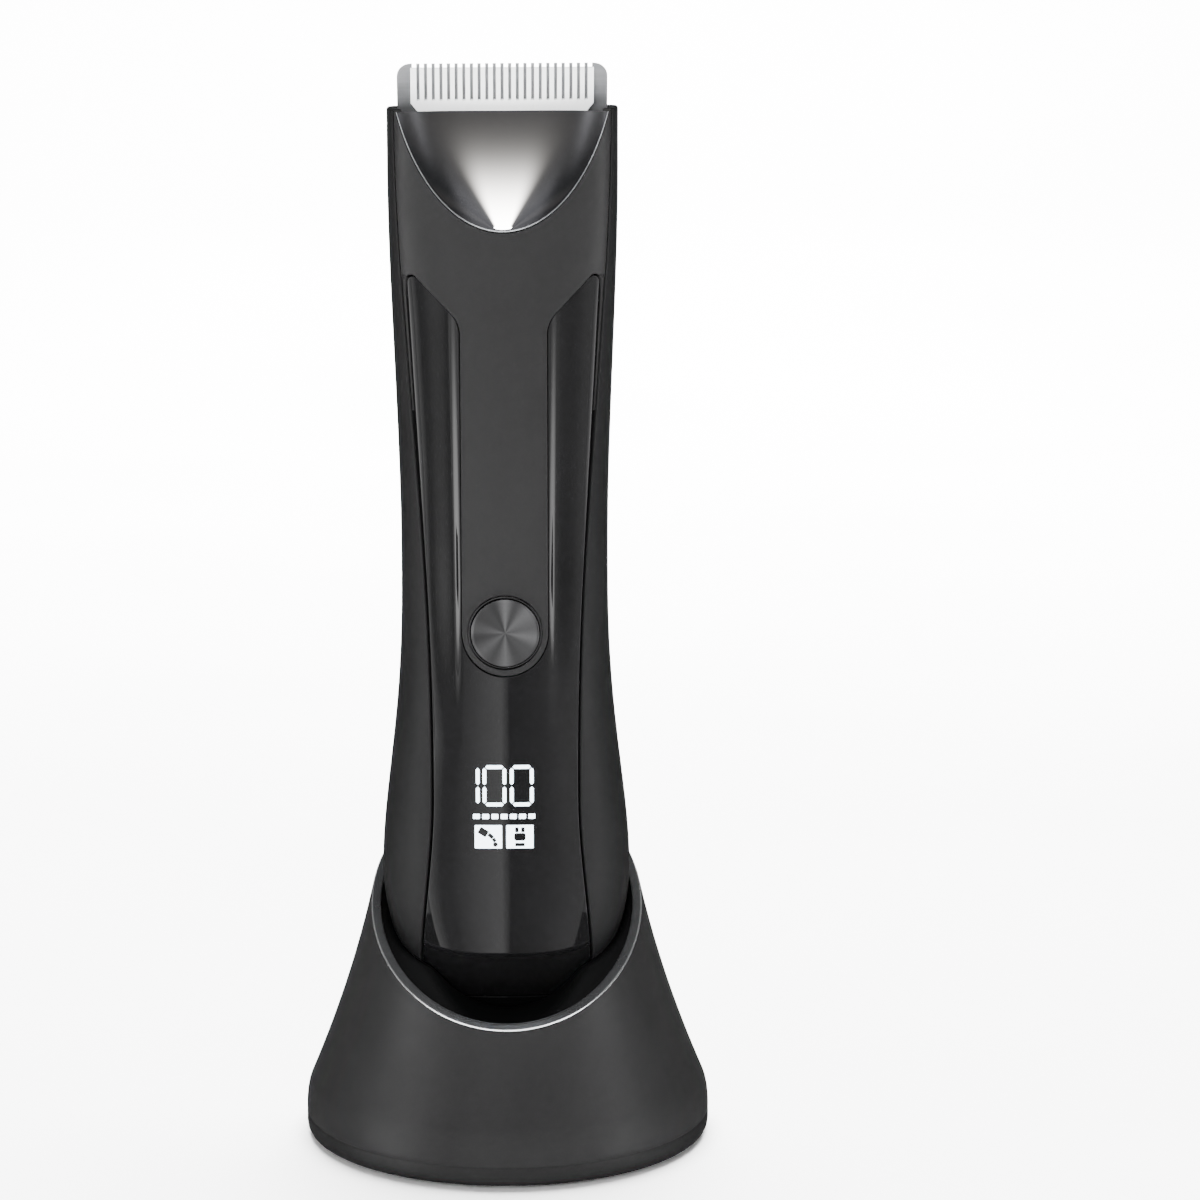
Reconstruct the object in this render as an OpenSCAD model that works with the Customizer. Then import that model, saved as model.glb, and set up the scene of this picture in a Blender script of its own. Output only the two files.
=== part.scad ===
// Cordless beard trimmer standing in its charging stand.
// Origin: centre of the stand's foot, on the surface it rests on. +Z is up and -Y is the front,
// the side with the power button. All sizes are in millimetres.

/* [Handle] */
// Half width at the belly, the widest line, just above the stand
belly_w = 20.8; // [17.3:0.1:25]
// Half width at the waist, where the fingers close
waist_w = 17.2; // [14.3:0.1:20.7]
// Half width of the head, under the blades
head_w = 18.9; // [18.7:0.1:22.7]
// Height of the belly above the table
belly_z = 48; // [47:0.5:50]
// Length of the handle from the belly to the top of the head
handle_len = 126.5; // [126.5:0.5:152]
// Length of the rounded end below the belly
end_drop = 29; // [28.5:0.5:30]
// Front-to-back depth at the belly
belly_depth = 31.4; // [29:0.1:33]
// Wall of the handle shells
wall = 1.6; // [1.3:0.05:1.7]
// Half width of the raised centre band
band_w = 7.1; // [6.6:0.1:8.5]
// Depth of the gloss channels beside the band
channel = 1.1; // [0.9:0.05:1.3]

/* [Button] */
// Radius of the power button
button_r = 5.65; // [4.7:0.05:5.8]
// Travel of the power button
button_travel = 0.5; // [0.3:0.05:0.6]
// Height of the button centre above the belly
button_up = 41.4; // [38:0.2:45]

/* [Blades] */
// Half width of the steel comb plate
comb_w = 17.2; // [16.9:0.1:17.3]
// Pitch of the teeth
pitch = 1.246; // [1.04:0.001:1.26]
// Number of steel teeth between the two end lobes
teeth = 23; // [19:2:23]
// Thickness of the steel comb plate
comb_t = 0.9; // [0.75:0.05:1.1]
// Thickness of the ceramic cutter
cutter_t = 1.0; // [0.8:0.05:1.1]
// Length of the steel teeth
tooth_len = 5.4; // [4.5:0.1:6.4]
// Forward lean of the blades, in degrees
lean = 16; // [14:0.5:18]
// Throw of the eccentric pin, which is half the stroke
throw = 1.1; // [0.9:0.05:1.3]

/* [Power] */
// Radius of the battery cell
cell_r = 9.1; // [7.6:0.1:9.2]
// Length of the battery cell
cell_len = 50; // [41.5:0.5:52]
// Radius of the motor can
motor_r = 10; // [8.4:0.1:10.2]
// Distance over the flats of the motor can
motor_flat = 15.4; // [13.6:0.1:16]
// Length of the motor can
motor_len = 26; // [22:0.5:27]
// Width of the two-pin charging plug
plug_w = 9.6; // [8:0.1:11]
// Thickness of the two-pin charging plug
plug_t = 5.2; // [4.4:0.1:6.2]
// Radius of a charging pin
pin_r = 0.7; // [0.6:0.02:0.8]

/* [Stand] */
// Radius of the stand at its widest
stand_r = 34.4; // [33.4:0.1:41.3]
// Wall of the stand's shell
stand_wall = 1.6; // [1.4:0.05:1.7]
// Height of the rim at the front
rim_front_z = 25.2; // [23.5:0.1:26]
// Slope of the rim, in degrees
rim_slope = 33.4; // [31:0.2:34]
// Thickness of the cup that receives the handle
cup_wall = 1.5; // [1.2:0.1:2]
// Thickness of the steel ballast ring
ballast_t = 2.8; // [2.3:0.1:3.1]

/* [Hidden] */
$fn = 64;

// Clearances
seam = 0.12;        // between two casing pieces
slip = 0.1;         // between a piece and the pocket that holds it
running = 0.05;     // round a shaft that turns
cup_clear = 0.75;   // between the handle and the cup
big = 200;          // reach of a cutting block

// Levels along the handle
head_z = belly_z + handle_len;
waist_z = belly_z + 54;
shoulder_z = head_z - 9.5;
nape_z = head_z - 36.5;
cap_z = belly_z - end_drop + 2.5;      // flat underside of the handle
cap_top = cap_z + 5.5;                 // seam between the cap and the shells
button_z = belly_z + button_up;
channel_top = head_z - 27;             // tips of the gloss channels
mid_y = -3;                            // the widest line runs up this plane
belly_back = belly_depth * 0.5;
belly_front = belly_depth - belly_back;
waist_front = 12.3;
waist_back = 14.2;
head_front = 9.6;
head_back = 7;
seam_x_low = 12.3;                     // casing seam, half width beside the display
seam_x_top = 17.7;                     // casing seam, half width at the head
seam_low_z = belly_z + 14;

// Drive line
motor_y = -1;
bracket_z = head_z - 31.5;             // underside of the motor bracket
bracket_t = 2;
hub_r = 3;
hub_h = 5.5;
hub_z = bracket_z + bracket_t + 1.5;
shaft_r = 1;
ecc_r = 1;
ecc_top = head_z - 12;
bulkhead_z = head_z - 20.5;
bulkhead_t = 1.6;
fork_slack = 0.35;                     // room that lets a straight ratio stand in for the sine
fork_gap = ecc_r + fork_slack;         // half width of the yoke's slot

// Blade set, in its own leaning frame: z runs to the tips, y points to the skin side
tip_y = -3;
tip_z = head_z + 7.3;
comb_len = 19.4;
cutter_set_back = 0.6;
cutter_len = 9.2;
cutter_w = (teeth + 1) * pitch / 2;
steel_tooth = 0.55;
slot_w = 0.5;
carrier_top = head_z - 6;
carrier_bottom = head_z - 16.5;
carrier_w = comb_w - 0.2;
lip_z = head_z + 0.4;
lip_back_y = -3.7;

// Inside the handle
board_t = 1;
board_y = -9.4;                        // rear face of the main board
cell_y = 0.2;
cell_z = belly_z + 9;
cell_top = cell_z + cell_len;
rail_in = max(motor_r, cell_r) + 0.3;
rail_t = 2;
chassis_z = cell_z - 3.3;
socket_h = 7;
pin_gap = 2.3;                         // charging pins stand this far each side of the centre

// Stand
base_z = 0.9;                          // underside of the base plate
base_t = 2;
shell_z = 0.6;                         // lower edge of the shell
shoulder_h = 9;                        // the flare starts here
flare_bend = 0.003;
neck_z = 41.5;                         // the rim's height beside the belly
neck_gap = 2.29;                       // from the handle's side to the shell's outside there
neck_u = neck_z - shoulder_h;
flare_most = 0.43;                     // first slope of the flare, less where the handle needs room
flare = min(flare_most, (stand_r - 0.5 - belly_w - neck_gap + flare_bend * neck_u * neck_u) / neck_u);
floor_t = 1.8;
floor_z = cap_z - 0.3;                 // top of the cup's floor
plug_top = cap_top - 0.5;
boss_ring = stand_r - 4.6;
boss_angles = [30, 150, 270];
dock_board_t = 1.4;
dock_board_z = floor_z - floor_t - 2.2;
inlet_z = 11;
inlet_y = 22;

// ---------- handle surface ----------

function ease(u) = let (v = min(1, max(0, u))) v * v * (3 - 2 * v);
function round_end(z) = z >= belly_z ? 1 : sqrt(max(0, 1 - pow((belly_z - z) / end_drop, 2)));
function below_waist(z, bend) = ease(pow(max(0, (waist_z - z) / (waist_z - belly_z)), bend));
function above_waist(z) = ease((z - waist_z) / (shoulder_z - waist_z));

// Half width, and depth in front of and behind the widest line, at a height
function half_w(z) = z < waist_z
  ? (waist_w + (belly_w - waist_w) * below_waist(z, 1.5)) * round_end(z)
  : waist_w + (head_w - waist_w) * above_waist(z);
function front_d(z) = z < waist_z
  ? (waist_front + (belly_front - waist_front) * below_waist(z, 1)) * round_end(z)
  : waist_front + (head_front - waist_front) * above_waist(z);
function back_d(z) = z < waist_z
  ? (waist_back + (belly_back - waist_back) * below_waist(z, 1)) * round_end(z)
  : waist_back + (head_back - waist_back) * pow(max(0, (z - nape_z) / (head_z - nape_z)), 1.3);

// Squareness of the section: 2 is an ellipse, and the head is boxier
function front_n(z) = 2.6 + 0.8 * ease((z - nape_z) / 25);
function back_n(z) = 2.5 + 2.5 * ease((z - nape_z) / 25);

// Half width of the casing seam in front view
function seam_x(z) =
  let (low = seam_x_low + 2.2 * ease((seam_low_z - z) / 32),
       high = seam_x_low + (seam_x_top - seam_x_low)
              * ease(pow(max(0, (z - seam_low_z) / (head_z - seam_low_z)), 1.15)))
  min(z < seam_low_z ? low : high, (z < belly_z ? 0.8 : 0.95) * half_w(z));
function seam_a(z) = acos(pow(seam_x(z) / half_w(z), front_n(z) / 2));

// A point of the handle's surface. The angle runs from +X (0) over the front (90) to -X (180).
function handle_point(z, a, inset) =
  let (n = sin(a) >= 0 ? front_n(z) : back_n(z),
       c = cos(a), s = sin(a),
       d = (s >= 0 ? front_d(z) : back_d(z)) - inset)
  [(half_w(z) - inset) * sign(c) * pow(abs(c), 2 / n),
   mid_y - d * sign(s) * pow(abs(s), 2 / n), z];

// Heights of the rings: close together on the rounded end, even above it
function end_angle(z) = asin(max(0, belly_z - z) / end_drop);
function rings(z0, z1, low, high) =
  let (a0 = end_angle(z0), a1 = end_angle(z1), below = z0 < belly_z ? low : 0, from = max(z0, belly_z))
  concat([for (i = [0:1:below - 1]) belly_z - end_drop * sin(a0 + (a1 - a0) * i / below)],
         z1 > from ? [for (i = [0:high]) from + (z1 - from) * i / high] : [z1]);

function quad(a, b, c, d) = [[a, c, b], [a, d, c]];
function flipped(faces) = [for (f = faces) [for (i = [len(f) - 1:-1:0]) f[i]]];

// A closed solid under the handle's surface between two heights
module handle_core(inset, z0, z1, low = 6, high = 16, sides = 36) {
  zs = rings(z0, z1, low, high);
  n = len(zs);
  points = [for (z = zs) for (i = [0:sides - 1]) handle_point(z, i * 360 / sides, inset)];
  walls = [for (j = [0:n - 2]) for (i = [0:sides - 1])
    for (f = quad(j * sides + i, (j + 1) * sides + i,
                  (j + 1) * sides + (i + 1) % sides, j * sides + (i + 1) % sides)) f];
  ends = [[for (i = [sides - 1:-1:0]) i], [for (i = [0:sides - 1]) (n - 1) * sides + i]];
  polyhedron(points, concat(walls, ends), convexity = 6);
}

// Angle of column u (0 to 1) of a skin. The front skin lies between the seams, the back one outside them.
function skin_angle(z, u, front, grow) =
  let (gap = (seam / 2 - grow) / half_w(z) * 180 / PI,
       a0 = front ? seam_a(z) + gap : seam_a(z) - gap)
  front ? a0 + u * (180 - 2 * a0) : a0 - u * (180 + 2 * a0);

// How far the gloss skin lies under the handle's surface: nothing at the seam, most in the
// channel's bed, and less again where it rises beside the band
channel_bed = 0.74;
function channel_in(z, a) =
  let (x = abs(handle_point(z, a, 0)[0]), s = seam_x(z), t = min(1, (s - x) / (s - band_w)))
  channel * (ease(t / channel_bed) - 0.5 * ease((t - channel_bed) / (1 - channel_bed)))
    * ease((z - button_z + 12) / 16);

// A wall of the casing that follows the handle's surface
module skin(front, cols, z0, z1, low, high, sunk = false, grow = 0) {
  zs = rings(z0, z1, low, high);
  n = len(zs);
  w = cols + 1;
  function at(z, u, inset) =
    let (a = skin_angle(z, u, front, grow))
    handle_point(z, a, inset + (sunk ? channel_in(z, a) : 0));
  outer = [for (z = zs) for (i = [0:cols]) at(z, i / cols, -grow)];
  inner = [for (z = zs) for (i = [0:cols]) at(z, i / cols, wall + grow)];
  m = n * w;
  faces = concat(
    [for (j = [0:n - 2]) for (i = [0:cols - 1]) let (k = j * w + i)
      for (f = quad(k, k + w, k + w + 1, k + 1)) f],
    [for (j = [0:n - 2]) for (i = [0:cols - 1]) let (k = m + j * w + i)
      for (f = quad(k, k + 1, k + w + 1, k + w)) f],
    [for (j = [0:n - 2]) let (k = j * w) for (f = quad(k, k + m, k + m + w, k + w)) f],
    [for (j = [0:n - 2]) let (k = j * w + cols) for (f = quad(k, k + w, k + m + w, k + m)) f],
    [for (i = [0:cols - 1]) for (f = quad(i, i + 1, i + 1 + m, i + m)) f],
    [for (i = [0:cols - 1]) let (k = (n - 1) * w + i) for (f = quad(k, k + m, k + m + 1, k + 1)) f]);
  polyhedron(concat(outer, inner), front ? faces : flipped(faces), convexity = 8);
}

// ---------- outlines in front view, x across and y up ----------

module seen_from_front(depth = 40) {
  translate([0, mid_y, 0]) rotate([90, 0, 0]) linear_extrude(depth) children();
}

// Head and centre band of the matte cover
tip_in = 7.3;                          // the channels' slanted upper ends run in over this height
module band_outline(grow = 0) {
  offset(r = grow - 5) offset(delta = 5) {
    polygon([[-30, big], [-30, channel_top + 14], [-band_w - tip_in * 0.96, channel_top],
             [-band_w, channel_top - tip_in], [-band_w, button_z], [band_w, button_z],
             [band_w, channel_top - tip_in], [band_w + tip_in * 0.96, channel_top],
             [30, channel_top + 14], [30, big]]);
    translate([0, button_z]) circle(band_w);
  }
}

// The gloss panel ends short of the casing seam, by more towards its tips
tip_r = 1.2;
function side_gap(z) = 0.28 + 0.5 * ease((z - waist_z) / (channel_top - waist_z));
module panel_outline(grow = 0) {
  levels = [for (i = [0:24]) cap_top - 1 + (channel_top + 2 - cap_top) * i / 24];
  offset(r = tip_r + grow) offset(delta = -tip_r) difference() {
    polygon(concat([for (z = levels) [seam_x(z) - side_gap(z), z]],
                   [for (i = [24:-1:0]) [side_gap(levels[i]) - seam_x(levels[i]), levels[i]]]));
    band_outline(seam);
  }
}

// The matte cover reaches down beside the tips, and ends there in a narrow strip
strip_z = channel_top - 22;
module cover_outline() {
  difference() {
    union() {
      band_outline();
      translate([-30, strip_z]) square([60, big]);
    }
    panel_outline(seam);
  }
}

// Elliptical mouth of the light scoop
scoop_z = head_z - 19.8;
scoop_w = 19.5;
scoop_h = 35.5;
function scoop_arc(shrink) = [for (a = [-68:4:68])
  [(scoop_w - shrink) * sin(a), scoop_z + scoop_h - (scoop_h - shrink) * cos(a)]];
module scoop_outline(shrink = 0) {
  polygon(concat([[-30, big]], scoop_arc(shrink), [[30, big]]));
}

// Everything behind the scoop's leaning floor
floor_low = head_front - 2.3;          // depth of the floor's foot in front of the widest line
module behind_scoop(back = 0) {
  low_y = mid_y - floor_low + back;
  run = lip_z - scoop_z;
  tilt = atan((lip_back_y - 1 + back - low_y) / run);
  translate([0, low_y, scoop_z]) rotate([-tilt, 0, 0]) translate([-big / 2, 0, -big / 2]) cube(big);
}

// One bar of a seven-segment digit, centred, lying along x
bar_w = 0.74;
module digit_bar(length) {
  half = length / 2;
  polygon([[-half, 0], [-half + bar_w / 2, bar_w / 2], [half - bar_w / 2, bar_w / 2],
           [half, 0], [half - bar_w / 2, -bar_w / 2], [-half + bar_w / 2, -bar_w / 2]]);
}

digit_w = 3.3;
digit_h = 6.2;
digits_z = belly_z + 16.2;
bar_gap = 0.14;
// lit: top, upper right, lower right, bottom, lower left, upper left
module digit(lit) {
  x = digit_w / 2;
  y = digit_h / 2;
  across = digit_w - 2 * bar_gap;
  up = y - 2 * bar_gap;
  places = [[0, y, 0, across], [x, y / 2, 90, up], [x, -y / 2, 90, up],
            [0, -y, 0, across], [-x, -y / 2, 90, up], [-x, y / 2, 90, up]];
  for (i = [0:5]) if (lit[i] == 1)
    translate([places[i][0], places[i][1]]) rotate(places[i][2]) digit_bar(places[i][3]);
}
module digits_outline() {
  translate([-5.05, digits_z]) translate([-digit_w / 2 + 0.4, 0]) digit([0, 1, 1, 0, 0, 0]);
  translate([-1.9, digits_z]) digit([1, 1, 1, 1, 1, 1]);
  translate([2.6, digits_z]) digit([1, 1, 1, 1, 1, 1]);
}

// Charge level bar: a row of short dashes under the digits
dash = 0.84;
module bar_outline() {
  for (i = [0:6]) translate([-4.9 + i * 1.52, digits_z - 5.1]) square([dash + 0.3, dash], center = true);
}

icon_w = 4.5;
icon_h = 3.9;
icon_z = digits_z - 8.5;
module drop_glyph() {
  translate([-0.5, 0.6]) rotate(-38) square([1.1, 0.8], center = true);
  translate([0.35, -0.15]) rotate(-52) square([0.9, 0.28], center = true);
  translate([0.75, -1.15]) circle(0.26, $fn = 24);
}
module plug_glyph() {
  translate([0, -0.05]) square([1.5, 1.1], center = true);
  for (x = [-0.45, 0.45]) translate([x, 0.95]) square([0.26, 0.8], center = true);
  translate([0, -1.3]) square([1.1, 0.26], center = true);
}
module icons_outline(glyphs = true) {
  for (side = [-1, 1]) translate([side * 2.6 - 0.35, icon_z]) difference() {
    square([icon_w, icon_h], center = true);
    if (glyphs) { if (side < 0) drop_glyph(); else plug_glyph(); }
  }
}

// ---------- stand ----------

function flare_r(z) = let (u = z - shoulder_h) stand_r - 0.5 - flare * u + flare_bend * u * u;
rim_top = head_z - 114;

module stand_profile(inset) {
  polygon(concat(
    [[0, shell_z], [stand_r - 1 - inset, shell_z], [stand_r - inset, shell_z + 1.6],
     [stand_r - inset, 5.2], [stand_r - 0.12 - inset, 6.8]],
    [for (i = [0:12]) let (z = shoulder_h + (rim_top - shoulder_h) * i / 12) [flare_r(z) - inset, z]],
    [[0, rim_top]]));
}

// Everything above the slanting rim, which falls to the front
module above_rim(sunk = 0) {
  front_y = -flare_r(rim_front_z);
  translate([0, front_y, rim_front_z]) rotate([rim_slope, 0, 0])
    translate([-big / 2, -big / 2, -sunk]) cube(big);
}

module inlet_window(grow) {
  translate([0, 0, inlet_z]) translate([-plug_w / 2 - 1.2 - grow, 10, -plug_t / 2 - 1.2 - grow])
    cube([plug_w + 2.4 + 2 * grow, 40, plug_t + 2.4 + 2 * grow]);
}

module on_bosses() {
  for (a = boss_angles) rotate(a) translate([boss_ring, 0, 0]) children();
}

boss_r = 2.6;
boss_top = 9;
pilot_r = 1;
screw_r = 1.4;
screw_head_r = 2.3;
plate_r = stand_r - stand_wall - 1;

module stand_shell() {
  color("#2b2c2e") difference() {
    union() {
      rotate_extrude() difference() {
        stand_profile(0);
        translate([0, -0.01]) stand_profile(stand_wall);
        translate([0, rim_top - 3]) square([stand_r, 20]);
      }
      on_bosses() translate([0, 0, base_z + base_t]) cylinder(r = boss_r, h = boss_top - base_z - base_t);
    }
    above_rim();
    inlet_window(slip);
    on_bosses() translate([0, 0, base_z]) cylinder(r = pilot_r, h = 6.5);
  }
}

// The cup follows the handle's rounded end. A rim plate inside the shell carries it,
// and it is dished in front of the handle so that the rounded end shows.
cup_sunk = 2;
dish_w = belly_w - 3.1;
dish_drop = end_drop - 5;
module cup_dish(grow) {
  translate([0, mid_y, belly_z]) rotate([90, 0, 0])
    scale([1, (dish_drop + grow) / (dish_w + grow), 1]) cylinder(r = dish_w + grow, h = stand_r);
}

module stand_cup() {
  color("#151516") difference() {
    intersection() {
      union() {
        handle_core(-cup_clear - cup_wall, floor_z - floor_t, belly_z + 14, 6, 3);
        intersection() {
          union() {
            above_rim(cup_sunk + cup_wall);
            cup_dish(cup_wall);
          }
          translate([0, 0, floor_z]) cylinder(r = stand_r, h = rim_top - floor_z);
        }
      }
      rotate_extrude() stand_profile(stand_wall + slip);
      difference() {
        translate([0, 0, floor_z - floor_t]) cylinder(r = stand_r, h = rim_top - floor_z);
        above_rim(cup_sunk);
      }
    }
    handle_core(-cup_clear, floor_z, belly_z + 16, 6, 3);
    cup_dish(0);
    plug_hole(floor_z - floor_t - 1, floor_t + 2, slip);
  }
}

module plug_hole(z, h, grow) {
  translate([-plug_w / 2 - grow, mid_y - plug_t / 2 - grow, z])
    cube([plug_w + 2 * grow, plug_t + 2 * grow, h]);
}

pillar_x = 7;
module stand_base() {
  color("#232325") difference() {
    union() {
      translate([0, 0, base_z]) cylinder(r = plate_r, h = base_t);
      for (x = [-pillar_x, pillar_x], y = [-8, 4])
        translate([x, y, base_z]) cylinder(r = 2, h = dock_board_z - base_z);
    }
    translate([0, 0, base_z]) foot_groove(0.5);
    on_bosses() translate([0, 0, base_z - 1]) cylinder(r = screw_r, h = base_t + 2);
    on_bosses() translate([0, 0, base_z - 1]) cylinder(r = screw_head_r + slip, h = 2);
  }
}

foot_out = plate_r - 6;
foot_in = foot_out - 4.5;
module foot_groove(h) {
  translate([0, 0, -0.01]) rotate_extrude() translate([foot_in - slip, 0])
    square([foot_out - foot_in + 2 * slip, h + 0.01]);
}
module foot_ring() {
  color("#1b1b1b") rotate_extrude() translate([foot_in, 0]) square([foot_out - foot_in, base_z + 0.5]);
}

module ballast_ring() {
  color("#8a8c8f") translate([0, 0, base_z + base_t]) rotate_extrude() translate([14, 0])
    square([boss_ring - boss_r - 0.6 - 14, ballast_t]);
}

module base_screws() {
  color("#b9bbbe") on_bosses() {
    translate([0, 0, base_z + 0.2]) difference() {
      cylinder(r = screw_head_r, h = 0.8);
      translate([0, 0, -0.1]) for (a = [0, 90]) rotate(a) translate([-1.2, -0.25, 0]) cube([2.4, 0.5, 0.5]);
    }
    translate([0, 0, base_z + 1]) cylinder(r = pilot_r, h = 5.2);
  }
}

module dock_board() {
  color("#1f5a3a") translate([-pillar_x - 2, -10, dock_board_z]) cube([2 * pillar_x + 4, 16, dock_board_t]);
}

module at_pins() {
  for (x = [-pin_gap, pin_gap]) translate([x, mid_y, 0]) children();
}
sleeve_r = pin_r + 0.55;

module dock_plug() {
  color("#101011") difference() {
    plug_hole(dock_board_z + dock_board_t, plug_top - dock_board_z - dock_board_t, 0);
    at_pins() translate([0, 0, floor_z - 1]) cylinder(r = sleeve_r, h = 20);
  }
}
module dock_contacts() {
  color("#c9a24a") at_pins() translate([0, 0, floor_z - 1]) difference() {
    cylinder(r = sleeve_r, h = plug_top - floor_z + 0.8);
    translate([0, 0, 0.6]) cylinder(r = pin_r + running + 0.03, h = 20);
  }
}

inlet_depth = 9;
inlet_face_y = sqrt(pow(flare_r(inlet_z), 2) - 36) - 0.1;
module stand_inlet() {
  color("#101011") difference() {
    union() {
      intersection() {
        inlet_window(0);
        translate([-big / 2, inlet_y, 0]) cube([big, inlet_face_y - inlet_y, big]);
      }
      translate([-8, inlet_y, base_z + base_t + ballast_t]) cube([16, 3.4, 7.6]);
    }
    translate([-plug_w / 2 - slip, inlet_face_y - inlet_depth, inlet_z - plug_t / 2 - slip])
      cube([plug_w + 2 * slip, 20, plug_t + 2 * slip]);
  }
}
module stand_inlet_pins() {
  color("#c9a24a") for (x = [-pin_gap, pin_gap]) translate([x, inlet_face_y - inlet_depth, inlet_z])
    rotate([-90, 0, 0]) cylinder(r = pin_r, h = 4);
}

wire_r = 0.6;
wire_y = -1;
module stand_wires() {
  for (side = [-1, 1]) color(side < 0 ? "#a02020" : "#202020") translate([side * pin_gap, 0, 0]) {
    translate([0, wire_y, inlet_z]) rotate([-90, 0, 0]) cylinder(r = wire_r, h = inlet_y - wire_y);
    translate([0, wire_y, inlet_z]) sphere(wire_r);
    translate([0, wire_y, inlet_z]) cylinder(r = wire_r, h = dock_board_z - inlet_z);
  }
}

// ---------- handle casing ----------

skin_row = 6.33;                       // height of one row of the casing surface
skin_rows = round(handle_len / skin_row);
window_z = head_z - 12.4;
window_w = comb_w + 0.22;

module rear_shell() {
  color("#3b3c3e") difference() {
    skin(false, 30, cap_top, head_z, 6, skin_rows);
    translate([-window_w, -5.5, window_z]) cube([2 * window_w, 40, 40]);
  }
}

module front_skin() {
  skin(true, 16, cap_top, head_z, 6, skin_rows);
}

module button_bore(r) {
  translate([0, 0, button_z]) rotate([90, 0, 0]) cylinder(r = r, h = 40);
}
bezel_r = button_r + 0.45;

module front_cover() {
  color("#2a2b2d") difference() {
    intersection() {
      front_skin();
      seen_from_front() cover_outline();
    }
    seen_from_front() scoop_outline();
    button_bore(bezel_r);
  }
}

module gloss_panel() {
  color("#0b0b0c") difference() {
    intersection() {
      skin(true, 20, cap_top, channel_top + 1, 6, skin_rows, true);
      seen_from_front() panel_outline();
    }
    seen_from_front() offset(delta = running) display_marks();
  }
}

module display_marks() {
  digits_outline();
  bar_outline();
  icons_outline(false);
}

// Lit marks are moulded through the panel and end flush with it
module through_panel() {
  intersection() {
    skin(true, 20, cap_top, channel_top + 1, 6, skin_rows, true);
    seen_from_front() children();
  }
}
module display_digits() { color("#f4f8ff") through_panel() digits_outline(); }
module charge_bar() { color("#f4f8ff") through_panel() bar_outline(); }
module status_icons() { color("#f4f8ff") through_panel() icons_outline(); }

scoop_in = head_w - wall - slip;         // half width that clears the rear shell
module light_scoop() {
  color("#3a3a3c") difference() {
    intersection() {
      handle_core(seam + 0.3, scoop_z - 1, head_z, 0, 6);
      seen_from_front(16) scoop_outline(slip);
      difference() {
        translate([-scoop_in, mid_y - big, scoop_z - 2]) cube([2 * scoop_in, big, head_z - scoop_z + 2]);
        behind_scoop(1);
      }
    }
    difference() {
      seen_from_front() scoop_outline(0.9);
      behind_scoop(0);
    }
    lens_box(running);
    skin(false, 30, scoop_z - 2, head_z + 1, 0, 6, false, slip);
  }
}

lens_w = 1.6;
module lens_box(grow) {
  translate([-lens_w - grow, mid_y - head_front + 0.9 - grow, scoop_z + 0.25 - grow])
    cube([2 * lens_w + 2 * grow, 3.6 + 2 * grow, 1.3 + 2 * grow]);
}
module led_lens() { color("#ffffff") lens_box(0); }

// Light board behind the cover, with its lamp under the lens
module led_board() {
  y = mid_y - head_front + 3.5;
  color("#e8e8e0") {
    translate([-4, y, scoop_z - 6]) cube([8, 0.8, 5.6]);
    translate([-1.2, y, scoop_z - 0.5]) cube([2.4, 1, 0.5]);
  }
}

// ---------- display, board and button ----------

front_in = mid_y - front_d(digits_z + 5) + wall;   // inside of the panel behind the digits
module display_module() {
  color("#e9e9e6") translate([-6.4, front_in + 0.5, icon_z - 3])
    cube([12.8, board_y - board_t - front_in - 0.5, digits_z - icon_z + 7]);
}

module main_board() {
  color("#1f5a3a") translate([0, board_y - board_t, 0]) {
    translate([-8, 0, belly_z + 1]) cube([16, board_t, cell_top - belly_z - 1]);
    translate([-5.5, 0, cap_top + socket_h + 0.2])
      cube([11, board_t, belly_z + 1 - cap_top - socket_h - 0.2]);
  }
}
module board_chips() {
  y = board_y - board_t;
  color("#18181a") {
    translate([-2.5, y - 1, belly_z + 27]) cube([5, 1, 5]);
    translate([-6.5, y - 0.8, belly_z + 31]) cube([2.4, 0.8, 1.4]);
    translate([3.4, y - 1.4, belly_z + 50]) cube([3.6, 1.4, 3.6]);
    translate([-6, y - 0.9, belly_z + 50]) cube([3, 0.9, 2]);
  }
}
switch_top = mid_y - 9;                // plunger of the switch, in front of the board
module tact_switch() {
  y = board_y - board_t;
  color("#c8c8c8") {
    translate([-3, switch_top + 0.3, button_z - 3]) cube([6, y - switch_top - 0.3, 6]);
    translate([0, switch_top, button_z]) rotate([-90, 0, 0]) cylinder(r = 1.7, h = 0.3);
  }
}

button_face = mid_y - front_d(button_z) - 0.45;
flange_y = switch_top - button_travel - slip;  // rear face of the button's flange
module button_bezel() {
  face = button_face + 0.5;
  color("#050505") translate([0, face + 2, button_z]) rotate([90, 0, 0]) difference() {
    cylinder(r = bezel_r - 0.02, h = 2);
    translate([0, 0, -1]) cylinder(r = button_r + running, h = 4);
  }
}
module power_button() {
  color("#5b5b5d") translate([0, 0, button_z]) rotate([90, 0, 0]) {
    translate([0, 0, -flange_y]) cylinder(r = button_r, h = flange_y - button_face);
    translate([0, 0, -flange_y]) cylinder(r = button_r + 0.9, h = 0.6);
  }
}

// ---------- chassis, battery and motor ----------

module chassis() {
  shelf_w = rail_in + rail_t;
  shelf_z = cell_top + 1.5;
  color("#46484b") {
    for (side = [-1, 1]) {
      translate([side > 0 ? rail_in : -shelf_w, -8, chassis_z])
        cube([rail_t, 11, bracket_z - chassis_z]);
      lug = half_w(waist_z) - wall - 0.3 - shelf_w + 0.5;
      translate([side > 0 ? shelf_w - 0.5 : -shelf_w - lug + 0.5, mid_y - 1.5, waist_z - 4])
        cube([lug, 3, 8]);
    }
    translate([-shelf_w, -8.5, chassis_z]) cube([2 * shelf_w, 15, 2]);
    difference() {
      translate([-shelf_w, -8.5, shelf_z]) cube([2 * shelf_w, 14, 2]);
      translate([0, motor_y, shelf_z - 1]) cylinder(r = 4, h = 4);
    }
  }
}

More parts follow.
